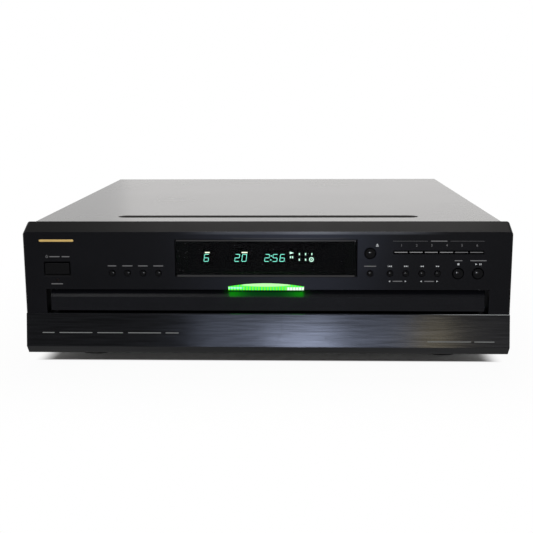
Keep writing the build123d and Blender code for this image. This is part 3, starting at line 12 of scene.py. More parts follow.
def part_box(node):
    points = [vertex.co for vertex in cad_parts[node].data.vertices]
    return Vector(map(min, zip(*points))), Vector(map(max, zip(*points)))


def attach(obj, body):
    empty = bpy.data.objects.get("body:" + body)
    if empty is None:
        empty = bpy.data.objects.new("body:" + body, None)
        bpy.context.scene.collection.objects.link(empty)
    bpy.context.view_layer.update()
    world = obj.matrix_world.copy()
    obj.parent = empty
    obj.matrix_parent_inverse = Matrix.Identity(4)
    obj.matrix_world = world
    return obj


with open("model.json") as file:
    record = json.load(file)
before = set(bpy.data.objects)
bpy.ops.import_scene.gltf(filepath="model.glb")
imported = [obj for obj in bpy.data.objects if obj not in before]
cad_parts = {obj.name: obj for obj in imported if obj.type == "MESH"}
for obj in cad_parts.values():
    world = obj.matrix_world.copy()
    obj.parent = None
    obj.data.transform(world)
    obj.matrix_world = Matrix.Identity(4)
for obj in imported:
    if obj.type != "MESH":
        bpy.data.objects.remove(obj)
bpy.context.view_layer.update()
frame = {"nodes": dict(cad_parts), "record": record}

bl_info = {
    "name": "Disc changer looks",
    "version": (1, 0, 0),
    "blender": (4, 5, 0),
    "location": "3D View > Sidebar > Changer",
    "description": "Dresses a disc changer with its finishes, print, lit display and studio",
    "category": "Object",
}

MM = 0.001
WHITE = (1.0, 1.0, 1.0, 1.0)

# The picture that the camera was fitted to: its width and the lens, in pixels, and the film's width in mm
PICTURE_WIDTH = 533.0
LENS_PIXELS = 910.883
FILM_WIDTH = 36.0

# Places in mm along y of the panel's face, the display tube's face and the rear jacks' flanges, and
# the height of the rear jacks
PANEL_FACE = -210.0
TUBE_FACE = -204.4
JACK_FACE = 209.0
JACK_ROW = 31.0

# How far print sinks into its face and stands out of it, in mm, and the same for lit marks
PRINT_SINK = 0.03
PRINT_DEPTH = 0.05
PRINT_OUTS = (-PRINT_SINK, PRINT_DEPTH)
LIT_OUTS = (0.0, 0.1)

# Heights in mm of the rows of print and signs on the front panel
STANDBY_ROW = 76.5
PAIR_ROW = 79.4
KEY_ROW = 93.0
STOP_SIGN_ROW = 94.9
STOP_LABEL_ROW = 98.1
POWER_ROW = 101.3
NUMBER_ROW = 111.7
RULE_ROW = 115.6

# Middles in mm along x of the print under the two pairs of track and search keys, and over the stop key
PAIR_MIDDLES = (117.0, 145.0)
STOP_MIDDLE = 170.3

# Distance in metres between the ribs of the lens, and how many ribs stand each side of its middle
RIB_PITCH = 0.00266
RIBS_EACH_SIDE = 12


# Node building


class Value:
    """One output of a node. Python's operators on it add Math nodes."""

    def __init__(self, maker, socket):
        self.maker = maker
        self.socket = socket

    def __add__(self, other):
        return self.maker.math("ADD", self, other)

    def __sub__(self, other):
        return self.maker.math("SUBTRACT", self, other)

    def __rsub__(self, other):
        return self.maker.math("SUBTRACT", other, self)

    def __mul__(self, other):
        return self.maker.math("MULTIPLY", self, other)

    def __truediv__(self, other):
        return self.maker.math("DIVIDE", self, other)

    def __rtruediv__(self, other):
        return self.maker.math("DIVIDE", other, self)

    def __gt__(self, other):
        return self.maker.math("GREATER_THAN", self, other)

    def __lt__(self, other):
        return self.maker.math("LESS_THAN", self, other)

    __radd__ = __add__
    __rmul__ = __mul__


class Outputs:
    """The outputs of a node, by name, identifier or number."""

    def __init__(self, maker, node):
        self.maker = maker
        self.node = node

    def __getitem__(self, key):
        return Value(self.maker, find_socket(self.node.outputs, key))


def find_socket(sockets, key):
    """The socket with this number, identifier or name."""
    if isinstance(key, int):
        return sockets[key]
    for socket in sockets:
        if socket.identifier == key:
            return socket
    return sockets[key]


class Maker:
    """Adds nodes to one tree."""

    def __init__(self, tree):
        self.tree = tree

    def add(self, kind, settings=None, inputs=None):
        """Adds a node, sets its settings, then gives its sockets their values or links."""
        node = self.tree.nodes.new(kind)
        for name, value in (settings or {}).items():
            setattr(node, name, value)
        for key, value in (inputs or {}).items():
            socket = find_socket(node.inputs, key)
            if isinstance(value, Value):
                self.tree.links.new(value.socket, socket)
            else:
                socket.default_value = value
        return Outputs(self, node)

    def math(self, operation, *values):
        """One Math node."""
        return self.add("ShaderNodeMath", {"operation": operation}, dict(enumerate(values)))[0]

    def smooth(self, value, low, high):
        """A soft step from 0 at low to 1 at high."""
        settings = {"interpolation_type": "SMOOTHSTEP"}
        inputs = {"Value": value, "From Min": low, "From Max": high}
        return self.add("ShaderNodeMapRange", settings, inputs)[0]


class Finish(Maker):
    """A material: one Principled shader and the nodes that feed it."""

    def __init__(self, name, **constants):
        self.material = bpy.data.materials.new(name)
        self.material.use_nodes = True
        super().__init__(self.material.node_tree)
        self.tree.nodes.clear()
        named = {key.replace("_", " "): value for key, value in constants.items()}
        self.shader = self.add("ShaderNodeBsdfPrincipled", None, named)
        self.add("ShaderNodeOutputMaterial", None, {"Surface": self.shader["BSDF"]})
        self.place = self.add("ShaderNodeTexCoord")["Object"]

    def feed(self, name, value):
        """Links a varying value to a socket of the shader."""
        self.tree.links.new(value.socket, self.shader.node.inputs[name])

    def stretched(self, scale):
        """The object's place, stretched by a factor for each axis."""
        inputs = {"Vector": self.place, "Scale": scale}
        return self.add("ShaderNodeMapping", {"vector_type": "POINT"}, inputs)[0]

    def noise(self, scale, detail=2.0, vector=None):
        """Noise from 0 to 1 with that many cells in a metre."""
        inputs = {"Vector": vector or self.place, "Scale": scale, "Detail": detail}
        return self.add("ShaderNodeTexNoise", None, inputs)[0]

    def lines(self, along, detail=2.0):
        """Noise drawn out into lines, by a stretch factor for each axis."""
        return self.noise(1.0, detail, self.stretched(along))

    def cells(self, scale):
        """A pattern of cells, that many in a metre."""
        return self.add("ShaderNodeTexVoronoi", None, {"Vector": self.place, "Scale": scale})

    def band(self, value, middle, reach, fade):
        """1 near a middle and 0 from reach on, softened over fade."""
        return self.smooth(reach - self.math("ABSOLUTE", value - middle), 0.0, fade)

    def saw(self, value, step):
        """Rises from 0 to 1 over a step and falls back over the next."""
        return self.math("PINGPONG", value, step) * (1.0 / step)

    def mix(self, first, second, factor):
        """A colour between two colours."""
        inputs = {"Factor_Float": factor, "A_Color": first, "B_Color": second}
        return self.add("ShaderNodeMix", {"data_type": "RGBA"}, inputs)["Result_Color"]

    def axes(self):
        """The object's place as three numbers."""
        parts = self.add("ShaderNodeSeparateXYZ", None, {"Vector": self.place})
        return parts[0], parts[1], parts[2]

    def soft_edge(self, radius):
        """The normal rounded over the edges by a radius in mm, and how near an edge a point is."""
        rounded = self.add("ShaderNodeBevel", {"samples": 4}, {"Radius": radius * MM})["Normal"]
        true = self.add("ShaderNodeNewGeometry")["Normal"]
        settings = {"operation": "DOT_PRODUCT"}
        same = self.add("ShaderNodeVectorMath", settings, {0: rounded, 1: true})["Value"]
        return rounded, self.smooth(1.0 - same, 0.01, 0.2)

    def relief(self, height, depth, normal=None):
        """Bumps of that depth in mm."""
        inputs = {"Height": height, "Strength": 1.0, "Distance": depth * MM}
        if normal:
            inputs["Normal"] = normal
        self.feed("Normal", self.add("ShaderNodeBump", None, inputs)["Normal"])

    def wear_and_highlight(self, base, edge, edge_colour):
        """A colour made lighter in patches along the edges, by rubbing and, where much lighter, as a painted
        highlight, and the normal rounded over them.
        """
        normal, near_edge = self.soft_edge(edge)
        uneven = self.smooth(self.noise(160.0, 3.0), 0.42, 0.7)
        return self.mix(base, edge_colour, near_edge * (0.35 + 0.5 * uneven)), normal


def shade(colour, factor=1.0):
    """A colour made lighter or darker, with its alpha."""
    return tuple(min(1.0, part * factor) for part in colour[:3]) + (1.0,)


# Finishes


def moulded(name, colour, roughness, gloss, grain, depth, edge=0.0, wear_and_highlight=1.6):
    """Moulded plastic or rubber: a fine grain, slight clouding, and edges made lighter by rubbing, on the
    tray front mostly as a painted highlight.
    """
    finish = Finish(name, Specular_IOR_Level=gloss)
    clouds = finish.noise(28.0, 3.0)
    speck = finish.noise(1000.0 / grain, 2.0)
    base = finish.mix(shade(colour, 0.82), shade(colour, 1.18), clouds)
    normal = None
    if edge:
        base, normal = finish.wear_and_highlight(base, edge, shade(colour, wear_and_highlight))
    finish.feed("Base Color", base)
    finish.feed("Roughness", roughness + 0.12 * (clouds - 0.5) + 0.08 * (speck - 0.5))
    finish.relief(speck, depth, normal)
    return finish.material


def panel(name, colour):
    """The front panel: moulded, with a painted cool sheen round its middle, a painted highlight along its
    upper edge, and the inner sides of its openings painted dark as shade.
    """
    painted_sheen_colour = (0.25, 0.28, 0.40, 1.0)
    painted_crest_highlight = (0.80, 0.84, 0.92, 1.0)
    painted_sheen_middle = 0.035
    crest_highlight_middle = 0.042
    finish = Finish(name, Specular_IOR_Level=0.036)
    x, y, z = finish.axes()
    clouds = finish.noise(28.0, 3.0)
    speck = finish.noise(2860.0, 2.0)
    base = finish.mix(shade(colour, 0.82), shade(colour, 1.18), clouds)
    base, normal = finish.wear_and_highlight(base, 0.3, shade(colour, 5.0))

    # Only the panel's face has the painted sheen: its inner sides, in the openings, are painted dark as shade
    front = finish.smooth(0.0 - y, 0.2094, 0.2098)
    base = finish.mix(shade(colour, 0.1), base, front)
    # A painted sheen, standing for a cool reflection, round the middle of the face and stronger towards its
    # top
    fall_left = 1.0 - finish.smooth(painted_sheen_middle - x, 0.0, 0.140)
    fall_right = 1.0 - finish.smooth(x - painted_sheen_middle, 0.0, 0.100)
    rise = 0.52 + 0.40 * finish.smooth(z, 0.080, 0.118)
    base = finish.mix(base, painted_sheen_colour, 0.085 * fall_left * fall_right * rise * front)

    # A painted highlight lies on the crest, the strip of the face just under its bevel
    strip = finish.smooth(z, 0.1207, 0.1226) * (1.0 - finish.smooth(z, 0.1237, 0.1245))
    narrow = finish.band(x, crest_highlight_middle, 0.045, 0.04)
    broad = finish.band(x, crest_highlight_middle, 0.125, 0.06)
    base = finish.mix(base, painted_crest_highlight, 0.13 * (0.55 * narrow + 0.45 * broad) * strip * front)
    finish.feed("Base Color", base)
    finish.feed("Roughness", 0.36 + 0.12 * (clouds - 0.5) + 0.08 * (speck - 0.5))
    finish.relief(speck, 0.004, normal)
    return finish.material


def painted(name, colour, roughness, gloss):
    """Baked paint on steel sheet: a fine leather-like skin, faint dust and folds scuffed lighter."""
    finish = Finish(name, Specular_IOR_Level=gloss)
    skin = finish.noise(1400.0, 2.0)
    clouds = finish.noise(9.0, 4.0)
    dust = finish.smooth(finish.noise(420.0, 1.0), 0.72, 0.8)
    normal, near_edge = finish.soft_edge(0.4)
    base = finish.mix(shade(colour, 0.93), shade(colour, 1.07), clouds)
    base = finish.mix(base, shade(colour, 1.9), 0.25 * dust)
    base = finish.mix(base, shade(colour, 2.2), 0.5 * near_edge)
    finish.feed("Base Color", base)
    finish.feed("Roughness", roughness + 0.03 * (clouds - 0.5) + 0.06 * dust)
    finish.relief(skin, 0.012, normal)
    return finish.material


def brushed(name, colour, roughness, metallic, along, depth):
    """Metal with fine lines along one axis, given by three stretch factors."""
    finish = Finish(name, Metallic=metallic)
    lines = finish.lines(along, 3.0)
    clouds = finish.noise(14.0, 3.0)
    finish.feed("Base Color", finish.mix(shade(colour, 0.85), shade(colour, 1.15), lines))
    finish.feed("Roughness", roughness + 0.16 * (lines - 0.5) + 0.1 * (clouds - 0.5))
    finish.relief(lines, depth)
    return finish.material


def plated(name, colour, roughness):
    """Zinc plated sheet: soft crystal patches, faint stains and rolling lines."""
    finish = Finish(name, Metallic=0.95)
    crystals = finish.cells(70.0)["Color"]
    patch = finish.add("ShaderNodeSeparateColor", None, {"Color": crystals})[0]
    stain = finish.smooth(finish.noise(11.0, 5.0), 0.5, 0.8)
    lines = finish.lines((8.0, 700.0, 700.0))
    base = finish.mix(shade(colour, 0.9), shade(colour, 1.08), patch)
    finish.feed("Base Color", finish.mix(base, shade(colour, 0.72), 0.6 * stain))
    finish.feed("Roughness", roughness + 0.12 * (patch - 0.5) + 0.14 * stain)
    finish.relief(lines, 0.006)
    return finish.material


def trim(name, colour):
    """The lower trim: dark metal brushed from side to side, with light scratches, one dark line, a dark dot
    and a painted highlight along the right of its upper edge.
    """
    dark_line_x = 0.0139
    dark_line_bend = 0.033
    dark_dot_x = 0.0537
    dark_dot_z = 0.0280
    top_highlight_colour = (0.5, 0.52, 0.52, 1.0)
    finish = Finish(name, Metallic=0.75, Specular_IOR_Level=0.10)
    lines = finish.lines((30.0, 900.0, 1250.0))
    wide = finish.lines((3.0, 60.0, 160.0))
    marks = finish.smooth(finish.lines((260.0, 40.0, 22.0), 1.0), 0.79, 0.83)
    normal, near_edge = finish.soft_edge(0.35)
    base = finish.mix(shade(colour, 0.5), shade(colour, 1.5), finish.smooth(lines, 0.3, 0.7))
    base = finish.mix(base, shade(colour, 1.2), 0.3 * wide)
    base = finish.mix(base, shade(colour, 2.4), 0.35 * marks + 0.6 * near_edge)

    # The dark line runs straight down to its bend, and leans left below it
    x, _, z = finish.axes()
    lean = 0.5 * finish.math("MAXIMUM", dark_line_bend - z, 0.0)
    dark_line = finish.band(x + lean, dark_line_x, 0.0005, 0.0004)
    away_x = x - dark_dot_x
    away_z = z - dark_dot_z
    away = finish.math("SQRT", away_x * away_x + away_z * away_z)
    dark_dot = 1.0 - finish.smooth(away, 0.0005, 0.0018)
    base = finish.mix(base, shade(colour, 0.2), 0.6 * dark_line + 0.45 * dark_dot)

    # A painted highlight runs along the right part of the upper edge
    top_highlight = finish.smooth(z, 0.0487, 0.0490) * finish.smooth(x, 0.13, 0.19)
    finish.feed("Base Color", finish.mix(base, top_highlight_colour, 0.8 * top_highlight))
    finish.feed("Roughness", 0.13 + 0.05 * (lines - 0.5) + 0.03 * (wide - 0.5))
    finish.relief(lines, 0.006, normal)
    return finish.material


def smoked(name, colour, alpha):
    """The display window: dark clear plastic with faint dust and wiping marks."""
    dust_colour = (0.03, 0.033, 0.036, 1.0)
    finish = Finish(name, Specular_IOR_Level=0.05, Roughness=0.06)
    dust = finish.smooth(finish.noise(900.0, 1.0), 0.74, 0.8)
    wipes = finish.lines((30.0, 60.0, 90.0), 3.0)
    normal, near_edge = finish.soft_edge(0.3)
    finish.feed("Base Color", finish.mix(shade(colour), dust_colour, 0.1 * dust + 0.4 * near_edge))
    finish.feed("Alpha", alpha + 0.03 * wipes + 0.1 * dust)
    finish.relief(wipes, 0.002, normal)
    return finish.material


def tube(name, colour):
    """The display tube: dark glass with a fine grid of cells behind it."""
    cell_step = 0.0004
    finish = Finish(name, Specular_IOR_Level=0.08)
    x, _, z = finish.axes()
    sides = [finish.smooth(finish.saw(axis, cell_step), 0.72, 0.95) for axis in (x, z)]
    grid = finish.math("MAXIMUM", *sides)
    clouds = finish.noise(60.0, 2.0)
    finish.feed("Base Color", finish.mix(shade(colour), shade(colour, 1.8), grid * (0.5 + 0.5 * clouds)))
    finish.feed("Roughness", 0.2 + 0.2 * grid)
    return finish.material


def board(name, colour, copper, gloss, lamp_front=-1.0):
    """A printed circuit board: tracks under varnish, solder pads, and dark lamps before lamp_front."""
    solder = (0.62, 0.63, 0.62, 1.0)
    lamp_colour = (0.006, 0.002, 0.002, 1.0)
    finish = Finish(name, Specular_IOR_Level=gloss)
    settings = {"offset": 0.5, "squash": 1.6, "squash_frequency": 3}
    inputs = {
        "Vector": finish.place,
        "Scale": 160.0,
        "Mortar Size": 0.03,
        "Brick Width": 0.9,
        "Row Height": 0.42,
    }
    tracks = finish.add("ShaderNodeTexBrick", settings, inputs)["Fac"]
    pads = 1.0 - finish.smooth(finish.cells(260.0)["Distance"], 0.16, 0.22)
    base = finish.mix(shade(colour, 0.9), shade(copper), 0.55 * tracks)
    base = finish.mix(base, solder, 0.7 * pads)
    _, y, _ = finish.axes()
    finish.feed("Base Color", finish.mix(base, lamp_colour, y < lamp_front))
    finish.feed("Metallic", 0.8 * pads)
    finish.feed("Roughness", 0.36 - 0.12 * tracks)
    finish.relief(tracks + pads, 0.03)
    return finish.material


def lens(name, colour, glow):
    """The lit lens over the tray: ribbed green, pale along its crown, hot at both ends, lit from below."""
    finish = Finish(name, Roughness=0.22, Specular_IOR_Level=0.3, Emission_Strength=glow)

    def level(red, green, blue):
        return (red / glow, green / glow, blue / glow, 1.0)

    x, y, z = finish.axes()
    normal = finish.add("ShaderNodeNewGeometry")["Normal"]
    facing = finish.add("ShaderNodeSeparateXYZ", None, {"Vector": normal})[2]

    # Ribs of two greens, and the pale crown over them
    rib = finish.smooth(finish.saw(x - 0.0004, RIB_PITCH / 2), 0.30, 0.50)
    streak = finish.lines((900.0, 10.0, 60.0))
    body = finish.mix(level(0.0, 0.86, 0.26), level(0.21, 1.02, 0.010), rib)
    body = finish.mix(body, level(0.05, 0.80, 0.02), 0.25 * streak)
    crown = finish.smooth(z - 2.4 * x * x, 0.0744, 0.0750)
    body = finish.mix(body, level(0.55, 1.10, 0.46), crown)

    # The hot ends of its front, where the lamps stand behind it
    left = finish.smooth(0.0 - x, 0.0190, 0.0235) * finish.smooth(z, 0.0724, 0.0732)
    right = finish.smooth(x, 0.0175, 0.0205)
    low = (1.0 - finish.smooth(z, 0.0738, 0.0744)) * (facing < 0.5)
    ends = (left + right) * low * (0.75 + 0.25 * finish.noise(400.0, 2.0))
    hot = finish.mix(level(0.52, 1.10, 1.00), level(1.05, 1.20, 1.10), x > 0.0)
    body = finish.mix(body, hot, ends)

    # Its underside lights the front of the tray, more from its ends and not from its rear
    far = finish.smooth(x * x, 0.00005, 0.00105)
    under = finish.mix(level(0.02, 6.5, 0.6), shade(colour), far)
    under = finish.mix(under, level(0.0, 0.15, 0.0), finish.smooth(y, -0.2079, -0.2071))
    finish.feed("Emission Color", finish.mix(body, under, facing < -0.5))
    finish.feed("Base Color", finish.mix(shade(colour, 0.1), shade(colour, 0.2), streak))
    return finish.material


def laminated(name, colour):
    """A transformer's core: thin plates of varnished steel stacked on each other."""
    rust_colour = (0.16, 0.08, 0.04, 1.0)
    finish = Finish(name, Metallic=0.7)
    _, _, z = finish.axes()
    layer = finish.saw(z, 0.00025)
    rust = finish.smooth(finish.noise(90.0, 4.0), 0.52, 0.75)
    base = finish.mix(shade(colour, 0.6), shade(colour, 1.2), layer)
    finish.feed("Base Color", finish.mix(base, rust_colour, 0.5 * rust))
    finish.feed("Roughness", 0.4 + 0.25 * rust)
    finish.relief(layer, 0.08)
    return finish.material


def taped(name, colour):
    """A coil wrapped in film: overlapping turns with soft creases."""
    finish = Finish(name, Specular_IOR_Level=0.5)
    _, _, z = finish.axes()
    lap = finish.saw(z + 0.0006 * finish.noise(40.0), 0.0035)
    crease = finish.noise(320.0, 3.0)
    finish.feed("Base Color", finish.mix(shade(colour, 0.7), shade(colour, 1.1), lap))
    finish.feed("Roughness", 0.22 + 0.2 * crease)
    finish.relief(lap + 0.3 * crease, 0.12)
    return finish.material


def printed(name, colour):
    """Ink pressed on the panel: slightly uneven where the screen left it thin."""
    finish = Finish(name, Specular_IOR_Level=0.3)
    thin = finish.noise(1800.0, 2.0)
    finish.feed("Base Color", finish.mix(shade(colour, 0.82), shade(colour, 1.05), thin))
    finish.feed("Roughness", 0.5 + 0.1 * (thin - 0.5))
    return finish.material


def lit(name, colour, glow):
    """Lit marks of the display, a little uneven as a tube's coating is."""
    finish = Finish(name, Roughness=0.4, Emission_Strength=glow)
    coating = finish.noise(1500.0, 2.0)
    finish.feed("Emission Color", finish.mix(shade(colour, 0.82), shade(colour), coating))
    finish.feed("Base Color", finish.mix(shade(colour, 0.2), shade(colour, 0.3), coating))
    return finish.material


def inlaid(name, colour):
    """The gold inlay: bright metal with fine lines along it."""
    finish = Finish(name, Metallic=1.0)
    lines = finish.lines((40.0, 900.0, 1200.0))
    finish.feed("Base Color", finish.mix(shade(colour, 0.8), shade(colour, 1.1), lines))
    finish.feed("Roughness", 0.32 + 0.12 * lines)
    return finish.material


def silvered(name):
    """The lines of the disc keys: dull silver, darker on the last two keys."""
    dim_line_colour = (0.09, 0.09, 0.095, 1.0)
    finish = Finish(name, Metallic=0.6)
    lines = finish.lines((60.0, 900.0, 900.0))
    base = finish.mix((0.26, 0.26, 0.265, 1.0), (0.38, 0.38, 0.39, 1.0), lines)
    x, _, _ = finish.axes()
    # The lines of the last two keys are darker
    finish.feed("Base Color", finish.mix(base, dim_line_colour, 0.6 * finish.smooth(x, 0.164, 0.168)))
    finish.feed("Roughness", 0.36 + 0.14 * lines)
    return finish.material


def rimmed(name):
    """The rims of the window: glossy black, with a painted highlight along the middle of the upper ones."""
    painted_highlight_colour = (0.085, 0.090, 0.105, 1.0)
    painted_highlight_middle = 0.025
    finish = Finish(name, Specular_IOR_Level=0.40, Roughness=0.22)
    x, _, z = finish.axes()
    clouds = finish.noise(40.0, 2.0)
    base = finish.mix((0.004, 0.004, 0.005, 1.0), (0.008, 0.008, 0.010, 1.0), clouds)
    # A painted highlight, pale along the middle of the upper rims
    painted_highlight = finish.band(x, painted_highlight_middle, 0.070, 0.070) * finish.smooth(z, 0.1, 0.11)
    finish.feed("Base Color", finish.mix(base, painted_highlight_colour, 0.5 * painted_highlight * (0.7 + 0.6 * clouds)))
    return finish.material


# Colour, roughness, gloss, grain in mm, its depth in mm, the rounding of edges in mm, and how much
# lighter the edges are, by rubbing and, on the tray front, mostly as a painted highlight
MOULDED = {
    # The tray front's edges are eight times lighter: a painted highlight along its bevel, with some rubbing
    "tray_front_plastic": ((0.0042, 0.0043, 0.0054), 0.26, 0.060, 0.35, 0.004, 0.30, 8.0),
    "key_plastic": ((0.0012, 0.0012, 0.0016), 0.16, 0.070, 0.30, 0.002, 0.25, 4.0),
    "bar_key_plastic": ((0.0008, 0.0008, 0.0011), 0.34, 0.020, 0.30, 0.003, 0.20, 3.0),
    "tray_plastic": ((0.022, 0.022, 0.024), 0.46, 0.35, 0.60, 0.012, 0.30, 2.0),
    "carousel_plastic": ((0.030, 0.030, 0.033), 0.40, 0.40, 0.45, 0.010, 0.30, 2.0),
    "foot_rubber": ((0.020, 0.020, 0.020), 0.72, 0.30, 0.80, 0.030, 0.40, 1.8),
    "socket_plastic": ((0.030, 0.030, 0.030), 0.42, 0.40, 0.50, 0.010, 0.25, 2.0),
    "mechanism_plastic": ((0.055, 0.055, 0.062), 0.48, 0.40, 0.50, 0.012, 0.25, 1.8),
    "belt_rubber": ((0.025, 0.025, 0.025), 0.62, 0.30, 0.40, 0.020, 0.0, 1.0),
    "gear_plastic": ((0.72, 0.70, 0.63), 0.38, 0.50, 0.60, 0.008, 0.15, 1.1),
    "hub_plastic": ((0.085, 0.085, 0.092), 0.40, 0.45, 0.50, 0.010, 0.20, 1.8),
}
# Colour, roughness, metallic, the stretch of its lines for each axis, and their depth in mm
BRUSHED = {
    "screw_steel": ((0.055, 0.055, 0.055), 0.34, 0.6, (900.0, 900.0, 60.0), 0.010),
    "jack_metal": ((0.83, 0.66, 0.32), 0.20, 1.0, (700.0, 60.0, 700.0), 0.006),
    "sled_metal": ((0.50, 0.50, 0.51), 0.42, 1.0, (420.0, 420.0, 420.0), 0.030),
    "motor_steel": ((0.60, 0.60, 0.61), 0.28, 1.0, (500.0, 500.0, 40.0), 0.006),
    "rod_steel": ((0.80, 0.80, 0.82), 0.12, 1.0, (900.0, 30.0, 900.0), 0.002),
}


def make_finishes(look):
    """Every finish of the record, by its slot."""
    made = {slot: moulded(slot, *values) for slot, values in MOULDED.items()}
    made.update({slot: brushed(slot, *values) for slot, values in BRUSHED.items()})
    made["panel_plastic"] = panel("panel_plastic", look.panel_colour)
    made["cover_paint"] = painted("cover_paint", look.cover_colour, 0.27, 0.85)
    made["rear_paint"] = painted("rear_paint", look.rear_colour, 0.42, 0.45)
    made["plated_sheet"] = plated("plated_sheet", (0.56, 0.57, 0.58), 0.34)
    made["trim_metal"] = trim("trim_metal", look.trim_colour)
    made["smoked_window"] = smoked("smoked_window", (0.002, 0.0022, 0.0026), look.window_depth)
    made["tube_glass"] = tube("tube_glass", (0.0014, 0.0017, 0.0018))
    made["front_circuit_board"] = board(
        "front_circuit_board", (0.02, 0.045, 0.024), (0.05, 0.09, 0.04), 0.12, lamp_front=-0.2075
    )
    made["circuit_board"] = board("circuit_board", (0.05, 0.20, 0.09), (0.12, 0.36, 0.16), 0.5)
    made["green_lens"] = lens("green_lens", look.lens_colour, look.lens_glow)
    made["core_steel"] = laminated("core_steel", (0.22, 0.22, 0.23))
    made["coil_tape"] = taped("coil_tape", (0.75, 0.58, 0.12))
    return made


# Piece building


def solid_piece(name, shape, finish, body):
    """Makes an object of a bmesh, with its place in its mesh, and lets it ride on a body."""
    bmesh.ops.remove_doubles(shape, verts=shape.verts, dist=1e-7)
    bmesh.ops.recalc_face_normals(shape, faces=shape.faces)
    mesh = bpy.data.meshes.new(name)
    shape.to_mesh(mesh)
    shape.free()
    return ride_piece(bpy.data.objects.new(name, mesh), finish, body)


def ride_piece(piece, finish, body):
    """Links a piece, gives it its finish and slot, and lets it ride on a body."""
    bpy.context.scene.collection.objects.link(piece)
    piece.data.materials.clear()
    piece.data.materials.append(finish)
    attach(piece, body)
    return piece


def flat_on(face, way=-1.0, lean=0.0, middle=0.0):
    """A map from x, z and the height over a face, in mm, to a point in metres.

    The face stands at that y, and its front looks that way along y. With a lean, points are moved
    sideways by their height over a middle.
    """
    return lambda x, z, out: ((x + (z - middle) * lean) * MM, (face + way * out) * MM, z * MM)


ON_PANEL = flat_on(PANEL_FACE)


def skin(shape, rows, closed=False):
    """Joins rows of points by faces: round again to the first row, or with a face over each end."""
    following = rows[1:] + rows[:1] if closed else rows[1:]
    for first, second in zip(rows, following):
        for number in range(len(first)):
            after = (number + 1) % len(first)
            shape.faces.new((first[number], first[after], second[after], second[number]))
    if not closed:
        shape.faces.new(rows[0])
        shape.faces.new(rows[-1])


def plate(shape, outline, outs=PRINT_OUTS, at=ON_PANEL):
    """A thin closed plate between two heights over a face, from its outline of x and z in mm."""
    skin(shape, [[shape.verts.new(at(x, z, out)) for x, z in outline] for out in outs])


def box_outline(x, z, width, height):
    """Four corners round a middle."""
    return [
        (x - width / 2, z - height / 2),
        (x + width / 2, z - height / 2),
        (x + width / 2, z + height / 2),
        (x - width / 2, z + height / 2),
    ]


def pill_outline(x, z, width, height, steps=6):
    """A bar with half-round ends."""
    radius = height / 2
    points = []
    for side, start in ((1, -90), (-1, 90)):
        end_x = x + side * (width / 2 - radius)
        for step in range(steps + 1):
            turn = math.radians(start + 180 * step / steps)
            points.append((end_x + radius * math.cos(turn), z + radius * math.sin(turn)))
    return points


def arrow_outline(x, z, size, way):
    """A triangle that points left or right."""
    back = x - way * size / 2
    return [(back, z - size / 2), (x + way * size / 2, z), (back, z + size / 2)]


def ring(shape, x, z, outer, inner, steps=24, turns=(0.0, 360.0), outs=PRINT_OUTS, at=ON_PANEL):
    """A flat ring between two heights over a face, or the part of one between two turns in degrees."""
    start, end = turns
    low, high = outs
    closed = end - start >= 360.0
    rows = []
    for number in range(steps if closed else steps + 1):
        turn = math.radians(start + (end - start) * number / steps)
        across = math.cos(turn)
        up = math.sin(turn)
        corners = ((inner, low), (outer, low), (outer, high), (inner, high))
        rows.append([shape.verts.new(at(x + far * across, z + far * up, out)) for far, out in corners])
    skin(shape, rows, closed)


def plain_copy(holder):
    """The evaluated mesh of an object, as a mesh of its own. The object is removed."""
    bpy.context.scene.collection.objects.link(holder)
    bpy.context.view_layer.update()
    mesh = bpy.data.meshes.new_from_object(holder.evaluated_get(bpy.context.evaluated_depsgraph_get()))
    holder.modifiers.clear()
    bpy.data.objects.remove(holder)
    return mesh


def figure_mesh(text, size, depth):
    """A plain figure as a closed mesh, lying flat round the origin, from its sizes in mm."""
    curve = bpy.data.curves.new("figure", "FONT")
    curve.body = text
    curve.size = size * MM
    curve.align_x = "CENTER"
    curve.align_y = "CENTER"
    curve.extrude = depth * MM / 2
    curve.resolution_u = 4
    mesh = plain_copy(bpy.data.objects.new("figure", curve))
    bpy.data.curves.remove(curve)
    return mesh


def add_figure(shape, text, size, depth, place, turn):
    """Adds a plain figure to a shape, at a place in mm, with a turn."""
    mesh = figure_mesh(text, size, depth)
    mesh.transform(Matrix.Translation(Vector(place) * MM) @ turn)
    shape.from_mesh(mesh)
    bpy.data.meshes.remove(mesh)


def applied(name, tree, inputs):
    """The plain mesh that a node tree makes with these inputs."""
    holder = bpy.data.objects.new(name, bpy.data.meshes.new(name))
    modifier = holder.modifiers.new("shape", "NODES")
    modifier.node_group = tree
    for item in tree.interface.items_tree:
        if item.item_type == "SOCKET" and item.in_out == "INPUT" and item.name in inputs:
            modifier[item.identifier] = inputs[item.name]
    mesh = plain_copy(holder)
    mesh.name = name
    return mesh


